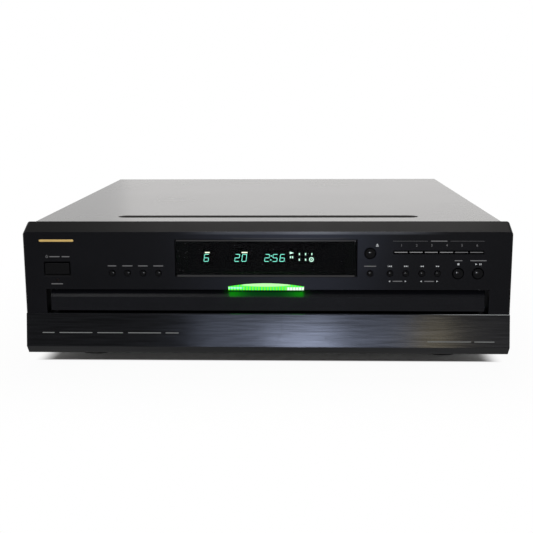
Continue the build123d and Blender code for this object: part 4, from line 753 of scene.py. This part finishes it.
class Row(Maker):
    """A Geometry Nodes tree that stands copies of one thing in a row along x, with named inputs."""

    def __init__(self, name, extra_inputs, finish):
        super().__init__(bpy.data.node_groups.new(name, "GeometryNodeTree"))
        self.finish = finish
        for label in ("Half Width", "Count", "Front", "Foot") + extra_inputs:
            kind = "NodeSocketInt" if label in ("Count", "Sides") else "NodeSocketFloat"
            self.tree.interface.new_socket(label, in_out="INPUT", socket_type=kind)
        self.tree.interface.new_socket("Geometry", in_out="OUTPUT", socket_type="NodeSocketGeometry")
        self.given = self.add("NodeGroupInput")

    def vector(self, x, y, z):
        """Three numbers as a vector."""
        return self.add("ShaderNodeCombineXYZ", None, {"X": x, "Y": y, "Z": z})[0]

    def stand(self, thing, scale=None):
        """Stands the thing on each point of the row, and ends the tree with real faces and their finish."""
        half = self.given["Half Width"]
        start, end = [self.vector(x, self.given["Front"], self.given["Foot"]) for x in (0.0 - half, half)]
        ends = {"Count": self.given["Count"], "Start Location": start, "Offset": end}
        line = self.add("GeometryNodeMeshLine", {"mode": "END_POINTS"}, ends)[0]
        copies = {"Points": line, "Instance": thing}
        if scale:
            copies["Scale"] = scale
        row = self.add("GeometryNodeInstanceOnPoints", None, copies)[0]
        real = self.add("GeometryNodeRealizeInstances", None, {"Geometry": row})[0]
        done = self.add("GeometryNodeSetMaterial", None, {"Geometry": real, "Material": self.finish})[0]
        self.add("NodeGroupOutput", None, {0: done})
        return self.tree


def made_finish(name):
    """A finish that was made before, by its name."""
    return bpy.data.materials[name]


# Sizes and colours


def colour_property(label, text, default):
    """A colour that a user may change."""
    return FloatVectorProperty(
        name=label, description=text, default=default, size=3, min=0.0, max=1.0, subtype="COLOR"
    )


def number_property(label, text, default, **kind):
    """A length in mm or a strength of light that a user may change."""
    return FloatProperty(name=label, description=text, default=default, min=0.0, **kind)


def power_property(label, text, default):
    """A lamp's power in watts that a user may change."""
    return number_property(label, text, default, subtype="POWER", unit="POWER")


class ChangerFinishes(bpy.types.PropertyGroup):
    """Colours of the outer finishes."""

    cover_colour: colour_property("Cover", "Paint of the top cover", (0.044, 0.041, 0.038))
    panel_colour: colour_property("Panel", "Plastic of the front panel", (0.0040, 0.0040, 0.0048))
    rear_colour: colour_property("Rear", "Paint of the rear panel", (0.040, 0.040, 0.042))
    trim_colour: colour_property("Trim", "Metal of the lower trim", (0.0060, 0.0062, 0.0070))
    lens_colour: colour_property("Lens", "Light of the lens over the tray", (0.008, 1.0, 0.005))
    lens_glow: number_property("Lens glow", "Strength of the light under the lens", 34.0)
    window_depth: number_property("Window depth", "How dark the window is", 0.58, max=1.0, subtype="FACTOR")


class ChangerPrint(bpy.types.PropertyGroup):
    """Sizes and colours of the print and the inlays."""

    ink_colour: colour_property("Ink", "Pale print on the panel", (0.20, 0.20, 0.21))
    sign_colour: colour_property("Sign ink", "Bright print of the key signs", (0.70, 0.73, 0.76))
    gold_colour: colour_property("Gold", "Inlay in the top left corner", (0.62, 0.43, 0.16))
    trim_ink_colour: colour_property("Trim ink", "Print on the lower trim", (0.24, 0.25, 0.25))
    rule_height: number_property("Rule height", "Height of the printed rules, in mm", 0.8)
    inlay_width: number_property("Inlay width", "Width of the gold inlay, in mm", 31.2)
    inlay_height: number_property("Inlay height", "Height of the gold inlay, in mm", 2.0)
    figure_height: number_property("Figure height", "Height of the printed numbers, in mm", 3.1)


class ChangerDisplay(bpy.types.PropertyGroup):
    """Sizes and colours of the lit display."""

    figure_height: number_property("Figure height", "Height of the lit figures, in mm", 6.85)
    figure_width: number_property("Figure width", "Width of the lit figures, in mm", 4.3)
    bar_width: number_property("Bar width", "Width of one lit bar, in mm", 0.42)
    slant: FloatProperty(
        name="Slant", description="Lean of the lit figures", default=math.radians(7), subtype="ANGLE"
    )
    lit_colour: colour_property("Lit colour", "Light of the figures", (0.26, 1.0, 0.78))
    label_colour: colour_property("Label colour", "Light of the small bars", (0.84, 0.92, 0.70))
    sign_colour: colour_property("Sign colour", "Light of the small signs", (0.56, 0.92, 0.74))
    glow: number_property("Glow", "Strength of the figures' light", 9.6)


class ChangerLens(bpy.types.PropertyGroup):
    """Sizes of the ribs on the lens."""

    rib_pitch: number_property("Rib pitch", "Distance between ribs, in mm", RIB_PITCH / MM)
    rib_radius: number_property("Rib radius", "Radius of one rib, in mm", 0.36)
    rib_sides: IntProperty(name="Rib sides", description="Sides of one rib", default=10, min=3)


class ChangerStage(bpy.types.PropertyGroup):
    """Light and floor."""

    # The floor's matt grey is seen only under and near the case, where it deepens the shade: painted shade
    floor_colour: colour_property("Floor", "Colour of the floor", (0.62, 0.61, 0.60))
    world_level: number_property("World level", "Light from all round", 0.62)
    overhead_power: power_property("Overhead power", "Power of the lamp above", 19.5)
    upper_power: power_property("Upper power", "Power of the lamp up in front", 7.0)
    front_power: power_property("Front power", "Power of the wide lamp in front", 5.0)
    core_power: power_property("Core power", "Power of the narrow lamp in front", 4.7)
    back_power: power_property("Back power", "Power of the lamp behind", 2.1)
    glint_power: power_property("Glint power", "Power of the lamp on the keys", 11.0)
    far_power: power_property("Far power", "Power of the far side lamp", 0.4)
    side_power: power_property("Side power", "Power of the warm lamp", 1.0)


# Operators


class PieceOperator(bpy.types.Operator):
    """Common part of the operators that make pieces."""

    bl_options = {"REGISTER", "UNDO"}

    def execute(self, context):
        self.make(context.scene)
        return {"FINISHED"}


class CHANGER_OT_finishes(PieceOperator):
    """Gives every solid of the frame its procedural finish"""

    bl_idname = "changer.finishes"
    bl_label = "Finishes"

    def make(self, scene):
        made = make_finishes(scene.changer_finishes)
        slots = {part["node"]: part["material_slot"] for part in frame["record"]["subparts"]}
        for name, node in frame["nodes"].items():
            if slots[name] not in made:
                raise RuntimeError(f"no finish for {name}")
            if not node.material_slots:
                node.data.materials.append(made[slots[name]])
            for place in node.material_slots:
                place.link = "OBJECT"
                place.material = made[slots[name]]
        look = scene.changer_print
        printed("panel_ink", look.ink_colour)
        printed("trim_ink", look.trim_ink_colour)
        printed("sign_ink", look.sign_colour)
        inlaid("gold_inlay", look.gold_colour)
        silvered("silver_line")
        rimmed("rim_plastic")
        show = scene.changer_display
        lit("lit_figures", show.lit_colour, show.glow)
        lit("lit_labels", show.label_colour, show.glow)
        lit("lit_signs", show.sign_colour, show.glow)


class CHANGER_OT_panel_print(PieceOperator):
    """Prints short rules, plain numbers and key symbols on the front panel"""

    bl_idname = "changer.panel_print"
    bl_label = "Panel print"

    def make(self, scene):
        look = scene.changer_print
        shape = bmesh.new()

        # The power sign: a ring open at its top, with a stroke in the gap
        power_x = -196.6
        ring(shape, power_x, POWER_ROW, 1.1, 0.75, 14, turns=(120.0, 420.0))
        plate(shape, box_outline(power_x, POWER_ROW + 1.0, 0.35, 1.3))

        # Short rules, each by its middle and width, by the height of their row
        rules = {
            POWER_ROW: ((-189.6, 9.4), (-179.6, 7.2)),
            STANDBY_ROW: ((-188.3, 10.6),),
            KEY_ROW: ((-138.0, 7.8), (-124.1, 9.2), (-110.2, 8.6), (-96.4, 9.0), (92.5, 10.8)),
            PAIR_ROW: [(x, 8.6) for x in PAIR_MIDDLES],
            STOP_LABEL_ROW: ((STOP_MIDDLE, 6.8), (187.8, 14.4)),
            RULE_ROW: ((152.8, 14.5),),
        }
        for z, row in rules.items():
            for x, width in row:
                plate(shape, pill_outline(x, z, width, look.rule_height))

        # The fine line over the six disc keys, and their numbers
        for start, end in ((112.3, 143.0), (162.7, 192.7)):
            plate(shape, box_outline((start + end) / 2, RULE_ROW, end - start, 0.18))
        first_key = 119.9
        key_pitch = 13.26
        middle = PANEL_FACE - (PRINT_DEPTH - PRINT_SINK) / 2
        upright = Matrix.Rotation(math.pi / 2, 4, "X")
        for number in range(6):
            place = (first_key + key_pitch * number, middle, NUMBER_ROW)
            add_figure(shape, str(number + 1), look.figure_height, PRINT_DEPTH + PRINT_SINK, place, upright)
        solid_piece("panel_print", shape, made_finish("panel_ink"), "case")


class CHANGER_OT_key_signs(PieceOperator):
    """Prints the bright signs by the tray, track, search, stop and play keys"""

    bl_idname = "changer.key_signs"
    bl_label = "Key signs"

    def make(self, scene):
        shape = bmesh.new()

        # The tray key's sign: a triangle over a bar
        tray_x = 98.6
        plate(shape, [(tray_x - 1.2, 111.6), (tray_x + 1.2, 111.6), (tray_x, 113.4)])
        plate(shape, box_outline(tray_x, 110.9, 2.4, 0.5))

        # Track and search signs: two arrows, with a bar on the track signs
        size = 1.5
        for x, way, bar in ((110.2, -1, True), (124.1, 1, True), (138.3, -1, False), (152.2, 1, False)):
            for aside in (-0.8, 0.8):
                plate(shape, arrow_outline(x + aside, KEY_ROW, size, way))
            if bar:
                plate(shape, box_outline(x + way * 1.8, KEY_ROW, 0.3, size))
        for x in PAIR_MIDDLES:
            for way in (-1, 1):
                plate(shape, arrow_outline(x + way * 7.2, PAIR_ROW, size, way))

        # Stop and play signs
        plate(shape, box_outline(STOP_MIDDLE, STOP_SIGN_ROW, 1.7, 1.7))
        plate(shape, arrow_outline(186.0, STOP_SIGN_ROW, 1.7, 1))
        for x in (189.0, 190.2):
            plate(shape, box_outline(x, STOP_SIGN_ROW, 0.6, 1.6))
        solid_piece("key_signs", shape, made_finish("sign_ink"), "case")


def window_rim_place(x, z, out):
    """A point on the panel round the window, whose face slopes in towards the glass above it."""
    slope_top = 117.6
    slope_height = 2.6
    slope_depth = 1.2
    above_window = z > 100.0
    inward = slope_depth * max(slope_top - z, 0.0) / slope_height if above_window else 0.0
    return (x * MM, (PANEL_FACE + inward - out) * MM, z * MM)


def bead(shape, left, right, z, width, proud, at, steps=8):
    """A closed half-round bead along x, as wide and standing out as far as given."""
    rows = []
    for x in (left, right):
        turns = [math.radians(-90 + 180 * step / steps) for step in range(steps + 1)]
        places = [(z + width / 2 * math.sin(turn), proud * math.cos(turn) - PRINT_SINK) for turn in turns]
        rows.append([shape.verts.new(at(x, height, out)) for height, out in places])
    skin(shape, rows)


class CHANGER_OT_window_rims(PieceOperator):
    """Lays fine glossy beads along the upper and lower edges of the display window"""

    bl_idname = "changer.window_rims"
    bl_label = "Window rims"

    def make(self, scene):
        # Left and right ends, height, width and how far each stands out, in mm
        rims = (
            (-79.3, 78.8, 84.0, 1.8, 0.30),
            (-80.0, 79.6, 115.75, 1.6, 0.30),
            (-30.0, 72.0, 117.9, 0.5, 0.10),
        )
        shape = bmesh.new()
        for rim in rims:
            bead(shape, *rim, window_rim_place)
        solid_piece("window_rims", shape, made_finish("rim_plastic"), "case")


class CHANGER_OT_corner_inlay(PieceOperator):
    """Sets a plain gold inlay in the top left corner of the panel"""

    bl_idname = "changer.corner_inlay"
    bl_label = "Corner inlay"

    def make(self, scene):
        look = scene.changer_print
        x = -187.5
        z = 115.8
        chamfer = 0.2
        shape = bmesh.new()
        rows = []
        for inset, out in ((0.0, -0.1), (0.0, 0.12), (chamfer, 0.3)):
            width = look.inlay_width - 2 * inset
            outline = pill_outline(x, z, width, look.inlay_height - 2 * inset, 10)
            rows.append([shape.verts.new(ON_PANEL(px, pz, out)) for px, pz in outline])
        skin(shape, rows)
        solid_piece("corner_inlay", shape, made_finish("gold_inlay"), "case")


# The bars of each lit figure, by their letters: a at the top, then clockwise to f, with g across the middle
SEGMENTS = {"2": "abged", "5": "afgcd", "6": "afgedc", "0": "abcdef"}


def lit_bar(shape, start, end, width, at):
    """One bar of a figure, pointed at both ends, with a small gap before each end."""
    length = math.dist(start, end)
    along = ((end[0] - start[0]) / length, (end[1] - start[1]) / length)
    half = width / 2
    gap = width * 0.18
    corners = (
        (gap, 0),
        (gap + half, -half),
        (length - gap - half, -half),
        (length - gap, 0),
        (length - gap - half, half),
        (gap + half, half),
    )
    outline = [
        (start[0] + along[0] * far - along[1] * aside, start[1] + along[1] * far + along[0] * aside)
        for far, aside in corners
    ]
    plate(shape, outline, LIT_OUTS, at)


def lit_figure(shape, text, x, z, show, at):
    """One figure of bars, round a middle."""
    half_width = (show.figure_width - show.bar_width) / 2
    half_height = (show.figure_height - show.bar_width) / 2
    left, right = x - half_width, x + half_width
    low, top = z - half_height, z + half_height
    bars = {
        "a": ((left, top), (right, top)),
        "b": ((right, z), (right, top)),
        "c": ((right, low), (right, z)),
        "d": ((left, low), (right, low)),
        "e": ((left, low), (left, z)),
        "f": ((left, z), (left, top)),
        "g": ((left, z), (right, z)),
    }
    for letter in SEGMENTS[text]:
        lit_bar(shape, *bars[letter], show.bar_width, at)


class CHANGER_OT_display_figures(PieceOperator):
    """Makes the lit figures, bars and signs on the display tube"""

    bl_idname = "changer.display_figures"
    bl_label = "Display figures"

    def make(self, scene):
        show = scene.changer_display
        middle = 99.4
        leaning = flat_on(TUBE_FACE, lean=math.tan(show.slant), middle=middle)
        straight = flat_on(TUBE_FACE)

        # Figures, with a colon between the minutes and the seconds
        shape = bmesh.new()
        for text, x in (("6", -53.6), ("2", -25.9), ("0", -19.6), ("2", 0.9), ("5", 8.0), ("6", 14.5)):
            lit_figure(shape, text, x, middle, show, leaning)
        for z in (97.6, 101.2):
            plate(shape, box_outline(4.4, z, 0.9, 0.9), LIT_OUTS, leaning)
        solid_piece("display_figures", shape, made_finish("lit_figures"), "case")

        # Signs: an arrow, bars of x, z, width and height, and a ring round a dot
        shape = bmesh.new()
        plate(shape, [(21.2, 102.9), (24.9, 103.9), (21.2, 105.1)], LIT_OUTS, straight)
        bars = [(x, 100.0, 1.0, 1.9) for x in (21.9, 23.75)]
        bars += [(x, 102.85, 0.95, 1.9) for x in (29.85, 35.35, 40.9)]
        bars += [(x, 97.8, 1.05, 1.9) for x in (29.75, 35.35)]
        dot = (40.55, 98.0)
        ring(shape, *dot, 2.1, 1.4, outs=LIT_OUTS, at=straight)
        for bar in bars + [(*dot, 1.0, 1.0)]:
            plate(shape, box_outline(*bar), LIT_OUTS, straight)
        solid_piece("display_signs", shape, made_finish("lit_signs"), "case")

        # Plain bars over the first two figures
        shape = bmesh.new()
        for x, width in ((-52.7, 4.3), (-19.3, 5.4)):
            plate(shape, box_outline(x, 104.25, width, 1.0), LIT_OUTS, straight)
        solid_piece("display_labels", shape, made_finish("lit_labels"), "case")


class CHANGER_OT_lens_ribs(PieceOperator):
    """Lays upright ribs along the front of the lit lens"""

    bl_idname = "changer.lens_ribs"
    bl_label = "Lens ribs"

    def make(self, scene):
        look = scene.changer_lens
        low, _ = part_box("tray_light_lens")
        extra = ("Radius", "Sides", "End Height", "Crown Height")
        row = Row("lens_rib_row", extra, made_finish("green_lens"))
        given = row.given
        sizes = {"Vertices": given["Sides"], "Radius": given["Radius"], "Depth": 1.0}
        rib = row.add("GeometryNodeMeshCylinder", None, sizes)["Mesh"]
        lift = {"Geometry": rib, "Translation": (0.0, 0.0, 0.5)}
        lifted = row.add("GeometryNodeTransform", None, lift)[0]

        # A rib's height follows the crown of the lens
        place = row.add("GeometryNodeInputPosition")[0]
        across = row.add("ShaderNodeSeparateXYZ", None, {"Vector": place})[0] / given["Half Width"]
        crown = given["Crown Height"]
        height = crown - (crown - given["End Height"]) * across * across
        tree = row.stand(lifted, row.vector(1.0, 1.0, height))
        values = {
            "Half Width": RIBS_EACH_SIDE * look.rib_pitch * MM,
            "Count": 2 * RIBS_EACH_SIDE + 1,
            "Radius": look.rib_radius * MM,
            "Sides": look.rib_sides,
            "Front": low.y + 0.25 * MM,
            "Foot": low.z + 0.15 * MM,
            "End Height": 2.2 * MM,
            "Crown Height": 2.9 * MM,
        }
        piece = bpy.data.objects.new("lens_ribs", applied("lens_ribs", tree, values))
        ride_piece(piece, made_finish("green_lens"), "case")


class CHANGER_OT_display_wires(PieceOperator):
    """Stretches the fine upright wires over the display tube"""

    bl_idname = "changer.display_wires"
    bl_label = "Display wires"

    def make(self, scene):
        low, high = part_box("display_tube")
        row = Row("display_wire_row", ("Height", "Thickness"), made_finish("tube_glass"))
        thickness = row.given["Thickness"]
        size = row.vector(thickness, thickness, row.given["Height"])
        wire = row.add("GeometryNodeMeshCube", None, {"Size": size})["Mesh"]
        tree = row.stand(wire)
        margin = 3.0 * MM
        values = {
            "Half Width": high.x - margin,
            "Count": 68,
            "Front": low.y - 0.3 * MM,
            "Foot": (low.z + high.z) / 2,
            "Height": high.z - low.z - margin,
            "Thickness": 0.08 * MM,
        }
        piece = bpy.data.objects.new("display_wires", applied("display_wires", tree, values))
        ride_piece(piece, made_finish("tube_glass"), "case")


class CHANGER_OT_key_lines(PieceOperator):
    """Lays a silver line along each of the six disc keys"""

    bl_idname = "changer.key_lines"
    bl_label = "Key lines"

    def make(self, scene):
        line_height = 0.62
        over_middle = 0.2
        shorter = 1.0
        for number in range(1, 7):
            name = f"disc_{number}_button"
            low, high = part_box(name)
            x, _, z = (low + high) / 2 / MM
            width = (high.x - low.x) / MM - shorter
            outline = pill_outline(x, z + over_middle, width, line_height)
            shape = bmesh.new()
            plate(shape, outline, (-0.05, 0.08), flat_on(low.y / MM))
            solid_piece(f"key_line_{number}", shape, made_finish("silver_line"), name)


def trim_place(x, z, out):
    """A point on the leaning face of the lower trim, between its top and its foot in y and z."""
    top_y, top_z = -210.5, 49.2
    foot_y, foot_z = -215.0, 19.7
    slope = (foot_y - top_y) / (top_z - foot_z)
    y = top_y + slope * (top_z - z)
    return (x * MM, (y - out) * MM, (z - out * slope) * MM)


class CHANGER_OT_trim_print(PieceOperator):
    """Prints plain rules on the lower trim"""

    bl_idname = "changer.trim_print"
    bl_label = "Trim print"

    def make(self, scene):
        # Left and right ends of each rule, by the height of its row
        rules = {
            32.0: ((-203.0, -192.0), (-187.5, -157.4), (-153.0, -129.5), (-125.0, -95.0), (-91.0, -79.0)),
            25.0: ((144.5, 183.4), (186.0, 204.0)),
        }
        rule = scene.changer_print.rule_height
        shape = bmesh.new()
        for z, row in rules.items():
            for start, end in row:
                plate(shape, pill_outline((start + end) / 2, z, end - start, rule), at=trim_place)
        solid_piece("trim_print", shape, made_finish("trim_ink"), "case")


class CHANGER_OT_carousel_numbers(PieceOperator):
    """Prints the plain numbers 1 to 6 beside the pockets of the carousel"""

    bl_idname = "changer.carousel_numbers"
    bl_label = "Carousel numbers"

    def make(self, scene):
        centre_y = -6.0
        platter_top = 65.8
        radius = 172.0
        shape = bmesh.new()
        for number in range(6):
            turn = math.radians(120 - 60 * number)
            place = (radius * math.cos(turn), centre_y + radius * math.sin(turn), platter_top)
            spin = Matrix.Rotation(turn + math.pi / 2, 4, "Z")
            add_figure(shape, str(number + 1), 9.0, 0.1, place, spin)
        solid_piece("carousel_numbers", shape, made_finish("panel_ink"), "carousel_body")


class CHANGER_OT_jack_rings(PieceOperator):
    """Puts a coloured insulating ring round each phono jack"""

    bl_idname = "changer.jack_rings"
    bl_label = "Jack rings"

    def make(self, scene):
        # Each ring's x and colour
        rings = {
            "right_jack_ring": (150.0, (0.62, 0.03, 0.02)),
            "left_jack_ring": (166.0, (0.78, 0.77, 0.74)),
            "coaxial_jack_ring": (86.0, (0.80, 0.32, 0.03)),
        }
        at = flat_on(JACK_FACE, 1.0)
        for name, (x, colour) in rings.items():
            shape = bmesh.new()
            ring(shape, x, JACK_ROW, 6.1, 4.3, 40, outs=(0.0, 1.2), at=at)
            finish = moulded(name, colour, 0.35, 0.5, 0.4, 0.006)
            solid_piece(name, shape, finish, "case")


class CHANGER_OT_rear_print(PieceOperator):
    """Prints frames round the groups of sockets on the rear panel"""

    bl_idname = "changer.rear_print"
    bl_label = "Rear print"

    def make(self, scene):
        _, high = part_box("rear_panel")
        at = flat_on(high.y / MM, 1.0)
        line = 0.4
        half_height = 11.0
        title_z = 46.0
        shape = bmesh.new()
        for left, right in ((140.0, 176.0), (118.0, 137.0), (76.0, 114.0)):
            middle = (left + right) / 2
            width = right - left
            for z in (JACK_ROW - half_height, JACK_ROW + half_height):
                plate(shape, box_outline(middle, z, width, line), at=at)
            for x in (left, right):
                plate(shape, box_outline(x, JACK_ROW, line, 2 * half_height - line), at=at)
            plate(shape, pill_outline(middle, title_z, width * 0.6, 2 * line), at=at)
        solid_piece("rear_print", shape, made_finish("panel_ink"), "case")


# Stage


def camera_matrix():
    """The camera's place and turn, from its fitted place and three angles."""
    eye = Vector((0.0281014, -1.0065237, 0.2454117))
    yaw = 0.0346
    pitch = 0.1894
    roll = -0.0050
    ahead = Vector((-math.sin(yaw), math.cos(yaw), 0.0))
    right = Vector((math.cos(yaw), math.sin(yaw), 0.0))
    up = Vector((0.0, 0.0, 1.0))
    forward = ahead * math.cos(pitch) - up * math.sin(pitch)
    above = ahead * math.sin(pitch) + up * math.cos(pitch)
    side = right * math.cos(roll) + above * math.sin(roll)
    top = above * math.cos(roll) - right * math.sin(roll)
    turn = Matrix((side, top, -forward)).transposed().to_4x4()
    return Matrix.Translation(eye) @ turn


def add_lamp(name, size, power, place, target, colour):
    """A soft rectangular lamp that the camera doesn't see."""
    data = bpy.data.lights.new(name, "AREA")
    data.shape = "RECTANGLE"
    data.size = size[0]
    data.size_y = size[1]
    data.energy = power
    data.color = colour
    lamp = bpy.data.objects.new(name, data)
    bpy.context.scene.collection.objects.link(lamp)
    lamp.location = place
    lamp.rotation_euler = (Vector(target) - Vector(place)).to_track_quat("-Z", "Y").to_euler()
    lamp.visible_camera = False
    return lamp


def seen_directly(maker):
    """1 for rays from the camera, from gloss and through glass, and 0 for light."""
    path = maker.add("ShaderNodeLightPath")
    first = maker.math("MAXIMUM", path["Is Camera Ray"], path["Is Glossy Ray"])
    return maker.math("MAXIMUM", first, path["Is Transmission Ray"])


def emptied(owner):
    """A maker for the node tree of a material or a world, with its first nodes taken out."""
    owner.use_nodes = True
    owner.node_tree.nodes.clear()
    return Maker(owner.node_tree)


def floor_paper(colour):
    """The floor's paper: matt, and white to the eye but for the shadow under and near the case."""
    material = bpy.data.materials.new("floor_paper")
    paper = emptied(material)
    place = paper.add("ShaderNodeTexCoord")["Object"]
    parts = paper.add("ShaderNodeSeparateXYZ", None, {"Vector": place})
    wide = paper.math("ABSOLUTE", parts[0])
    deep = paper.math("ABSOLUTE", parts[1])

    # Within this edge the paper is in the dark under the case, and past it the shadow fades out
    near = paper.math("MAXIMUM", paper.smooth(wide, 0.197, 0.219), paper.smooth(deep, 0.1895, 0.1935))
    out_x = paper.math("MAXIMUM", wide - 0.212, 0.0)
    out_y = paper.math("MAXIMUM", deep - 0.209, 0.0)
    far = paper.smooth(paper.math("SQRT", out_x * out_x + out_y * out_y), 0.0, 0.20)

    white = (0.96 * near + 0.04 * far) * seen_directly(paper)
    # The matt grey shows only under and near the case, where it is painted shade
    matt = paper.add("ShaderNodeBsdfDiffuse", None, {"Color": shade(colour)})[0]
    glow = paper.add("ShaderNodeEmission", None, {"Color": WHITE, "Strength": 1.0})[0]
    mixed = paper.add("ShaderNodeMixShader", None, {0: white, 1: matt, 2: glow})[0]
    paper.add("ShaderNodeOutputMaterial", None, {"Surface": mixed})
    return material


def linked_collection(name, nodes):
    """A collection of CAD nodes that a lamp may be kept to."""
    collection = bpy.data.collections.new(name)
    for node in nodes:
        collection.objects.link(frame["nodes"][node])
    return collection


class CHANGER_OT_stage(PieceOperator):
    """Makes the pale floor, the lamps, the world's light and the camera"""

    bl_idname = "changer.stage"
    bl_label = "Stage"

    def make(self, scene):
        look = scene.changer_stage
        self.make_floor(scene, look)
        self.make_world(scene, look)
        self.make_lamps(look)
        self.make_camera(scene)
        scene.view_settings.view_transform = "Standard"

    def make_floor(self, scene, look):
        """The floor"""
        half = 12.0
        mesh = bpy.data.meshes.new("floor")
        shape = bmesh.new()
        corners = ((-half, -half), (half, -half), (half, half), (-half, half))
        shape.faces.new([shape.verts.new((x, y, 0.0)) for x, y in corners])
        shape.to_mesh(mesh)
        shape.free()
        floor = bpy.data.objects.new("floor", mesh)
        scene.collection.objects.link(floor)
        floor.data.materials.append(floor_paper(look.floor_colour))

    def make_world(self, scene, look):
        """A white world that lights the object at a plain level"""
        world = bpy.data.worlds.new("studio")
        air = emptied(world)
        level = look.world_level + (1.0 - look.world_level) * seen_directly(air)
        sky = air.add("ShaderNodeBackground", None, {"Color": WHITE, "Strength": level})[0]
        air.add("ShaderNodeOutputWorld", None, {"Surface": sky})
        scene.world = world

    def make_lamps(self, look):
        """Soft lamps: three for the whole object, and five that only its front or its round keys take"""
        white = (1.0, 1.0, 1.0)
        cool = (0.72, 0.80, 1.0)
        warm = (1.0, 0.84, 0.50)
        cream = (1.0, 0.965, 0.94)
        keys = [name for name in frame["nodes"] if name.endswith("_button")]
        flat_keys = ["power_button"] + [f"disc_{number}_button" for number in range(1, 7)]
        fronts = ["front_panel", "lower_trim", "tray_front", "display_window"]
        faces = linked_collection("front_faces", fronts + keys)
        domes = linked_collection("round_keys", [name for name in keys if name not in flat_keys])
        front = (0.03, -0.2, 0.04)

        # Name, width and height, power, place, what it points at, colour, and the nodes that it is kept to
        lamps = (
            ("overhead", (1.26, 1.2), look.overhead_power, (0.15, 0.90, 1.9), (0.15, 0.55, 0.1), cream, None),
            ("upper_front", (0.6, 0.5), look.upper_power, (-0.5, -1.2, 1.7), (0.0, -0.2, 0.1), white, None),
            ("back", (2.3, 0.9), look.back_power, (0.45, 2.6, 0.60), (0.2, 0.0, 0.13), cream, None),
            ("front", (0.68, 0.16), look.front_power, (0.05, -2.25, 0.10), front, cool, faces),
            ("front_core", (0.20, 0.12), look.core_power, (0.05, -2.2, 0.06), front, cool, faces),
            ("side", (0.10, 0.14), look.side_power, (0.44, -2.2, 0.08), (0.15, -0.2, 0.04), warm, faces),
            ("far_side", (0.31, 0.16), look.far_power, (0.60, -2.2, 0.08), (0.18, -0.2, 0.04), cream, faces),
            ("glint", (0.30, 0.20), look.glint_power, (0.05, -2.2, 0.10), front, cream, domes),
        )
        for *values, receivers in lamps:
            lamp = add_lamp(*values)
            if receivers:
                lamp.light_linking.receiver_collection = receivers

    def make_camera(self, scene):
        """The camera at its fitted place"""
        data = bpy.data.cameras.new("camera")
        data.sensor_width = FILM_WIDTH
        data.sensor_fit = "HORIZONTAL"
        data.lens = FILM_WIDTH * LENS_PIXELS / PICTURE_WIDTH
        data.clip_start = 0.01
        camera = bpy.data.objects.new("camera", data)
        scene.collection.objects.link(camera)
        camera.matrix_world = camera_matrix()
        scene.camera = camera


OPERATORS = (
    CHANGER_OT_finishes,
    CHANGER_OT_panel_print,
    CHANGER_OT_key_signs,
    CHANGER_OT_window_rims,
    CHANGER_OT_corner_inlay,
    CHANGER_OT_display_figures,
    CHANGER_OT_display_wires,
    CHANGER_OT_lens_ribs,
    CHANGER_OT_key_lines,
    CHANGER_OT_trim_print,
    CHANGER_OT_carousel_numbers,
    CHANGER_OT_jack_rings,
    CHANGER_OT_rear_print,
    CHANGER_OT_stage,
)
GROUPS = {
    "changer_finishes": ChangerFinishes,
    "changer_print": ChangerPrint,
    "changer_display": ChangerDisplay,
    "changer_lens": ChangerLens,
    "changer_stage": ChangerStage,
}


class CHANGER_PT_looks(bpy.types.Panel):
    """Lists the steps that dress the changer, in their order."""

    bl_label = "Disc changer"
    bl_idname = "CHANGER_PT_looks"
    bl_space_type = "VIEW_3D"
    bl_region_type = "UI"
    bl_category = "Changer"

    def draw(self, context):
        for name, group in GROUPS.items():
            column = self.layout.column(align=True)
            for key in group.__annotations__:
                column.prop(getattr(context.scene, name), key)
        for operator in OPERATORS:
            self.layout.operator(operator.bl_idname)


def register():
    """Makes the sizes, operators and panel known to Blender."""
    for name, group in GROUPS.items():
        bpy.utils.register_class(group)
        setattr(bpy.types.Scene, name, PointerProperty(type=group))
    for operator in OPERATORS:
        bpy.utils.register_class(operator)
    bpy.utils.register_class(CHANGER_PT_looks)


def unregister():
    """Takes them away again."""
    bpy.utils.unregister_class(CHANGER_PT_looks)
    for operator in reversed(OPERATORS):
        bpy.utils.unregister_class(operator)
    for name, group in GROUPS.items():
        delattr(bpy.types.Scene, name)
        bpy.utils.unregister_class(group)


def main():
    """Dresses the changer."""
    register()
    for operator in OPERATORS:
        group, name = operator.bl_idname.split(".")
        getattr(getattr(bpy.ops, group), name)()


if __name__ == "__main__":
    main()
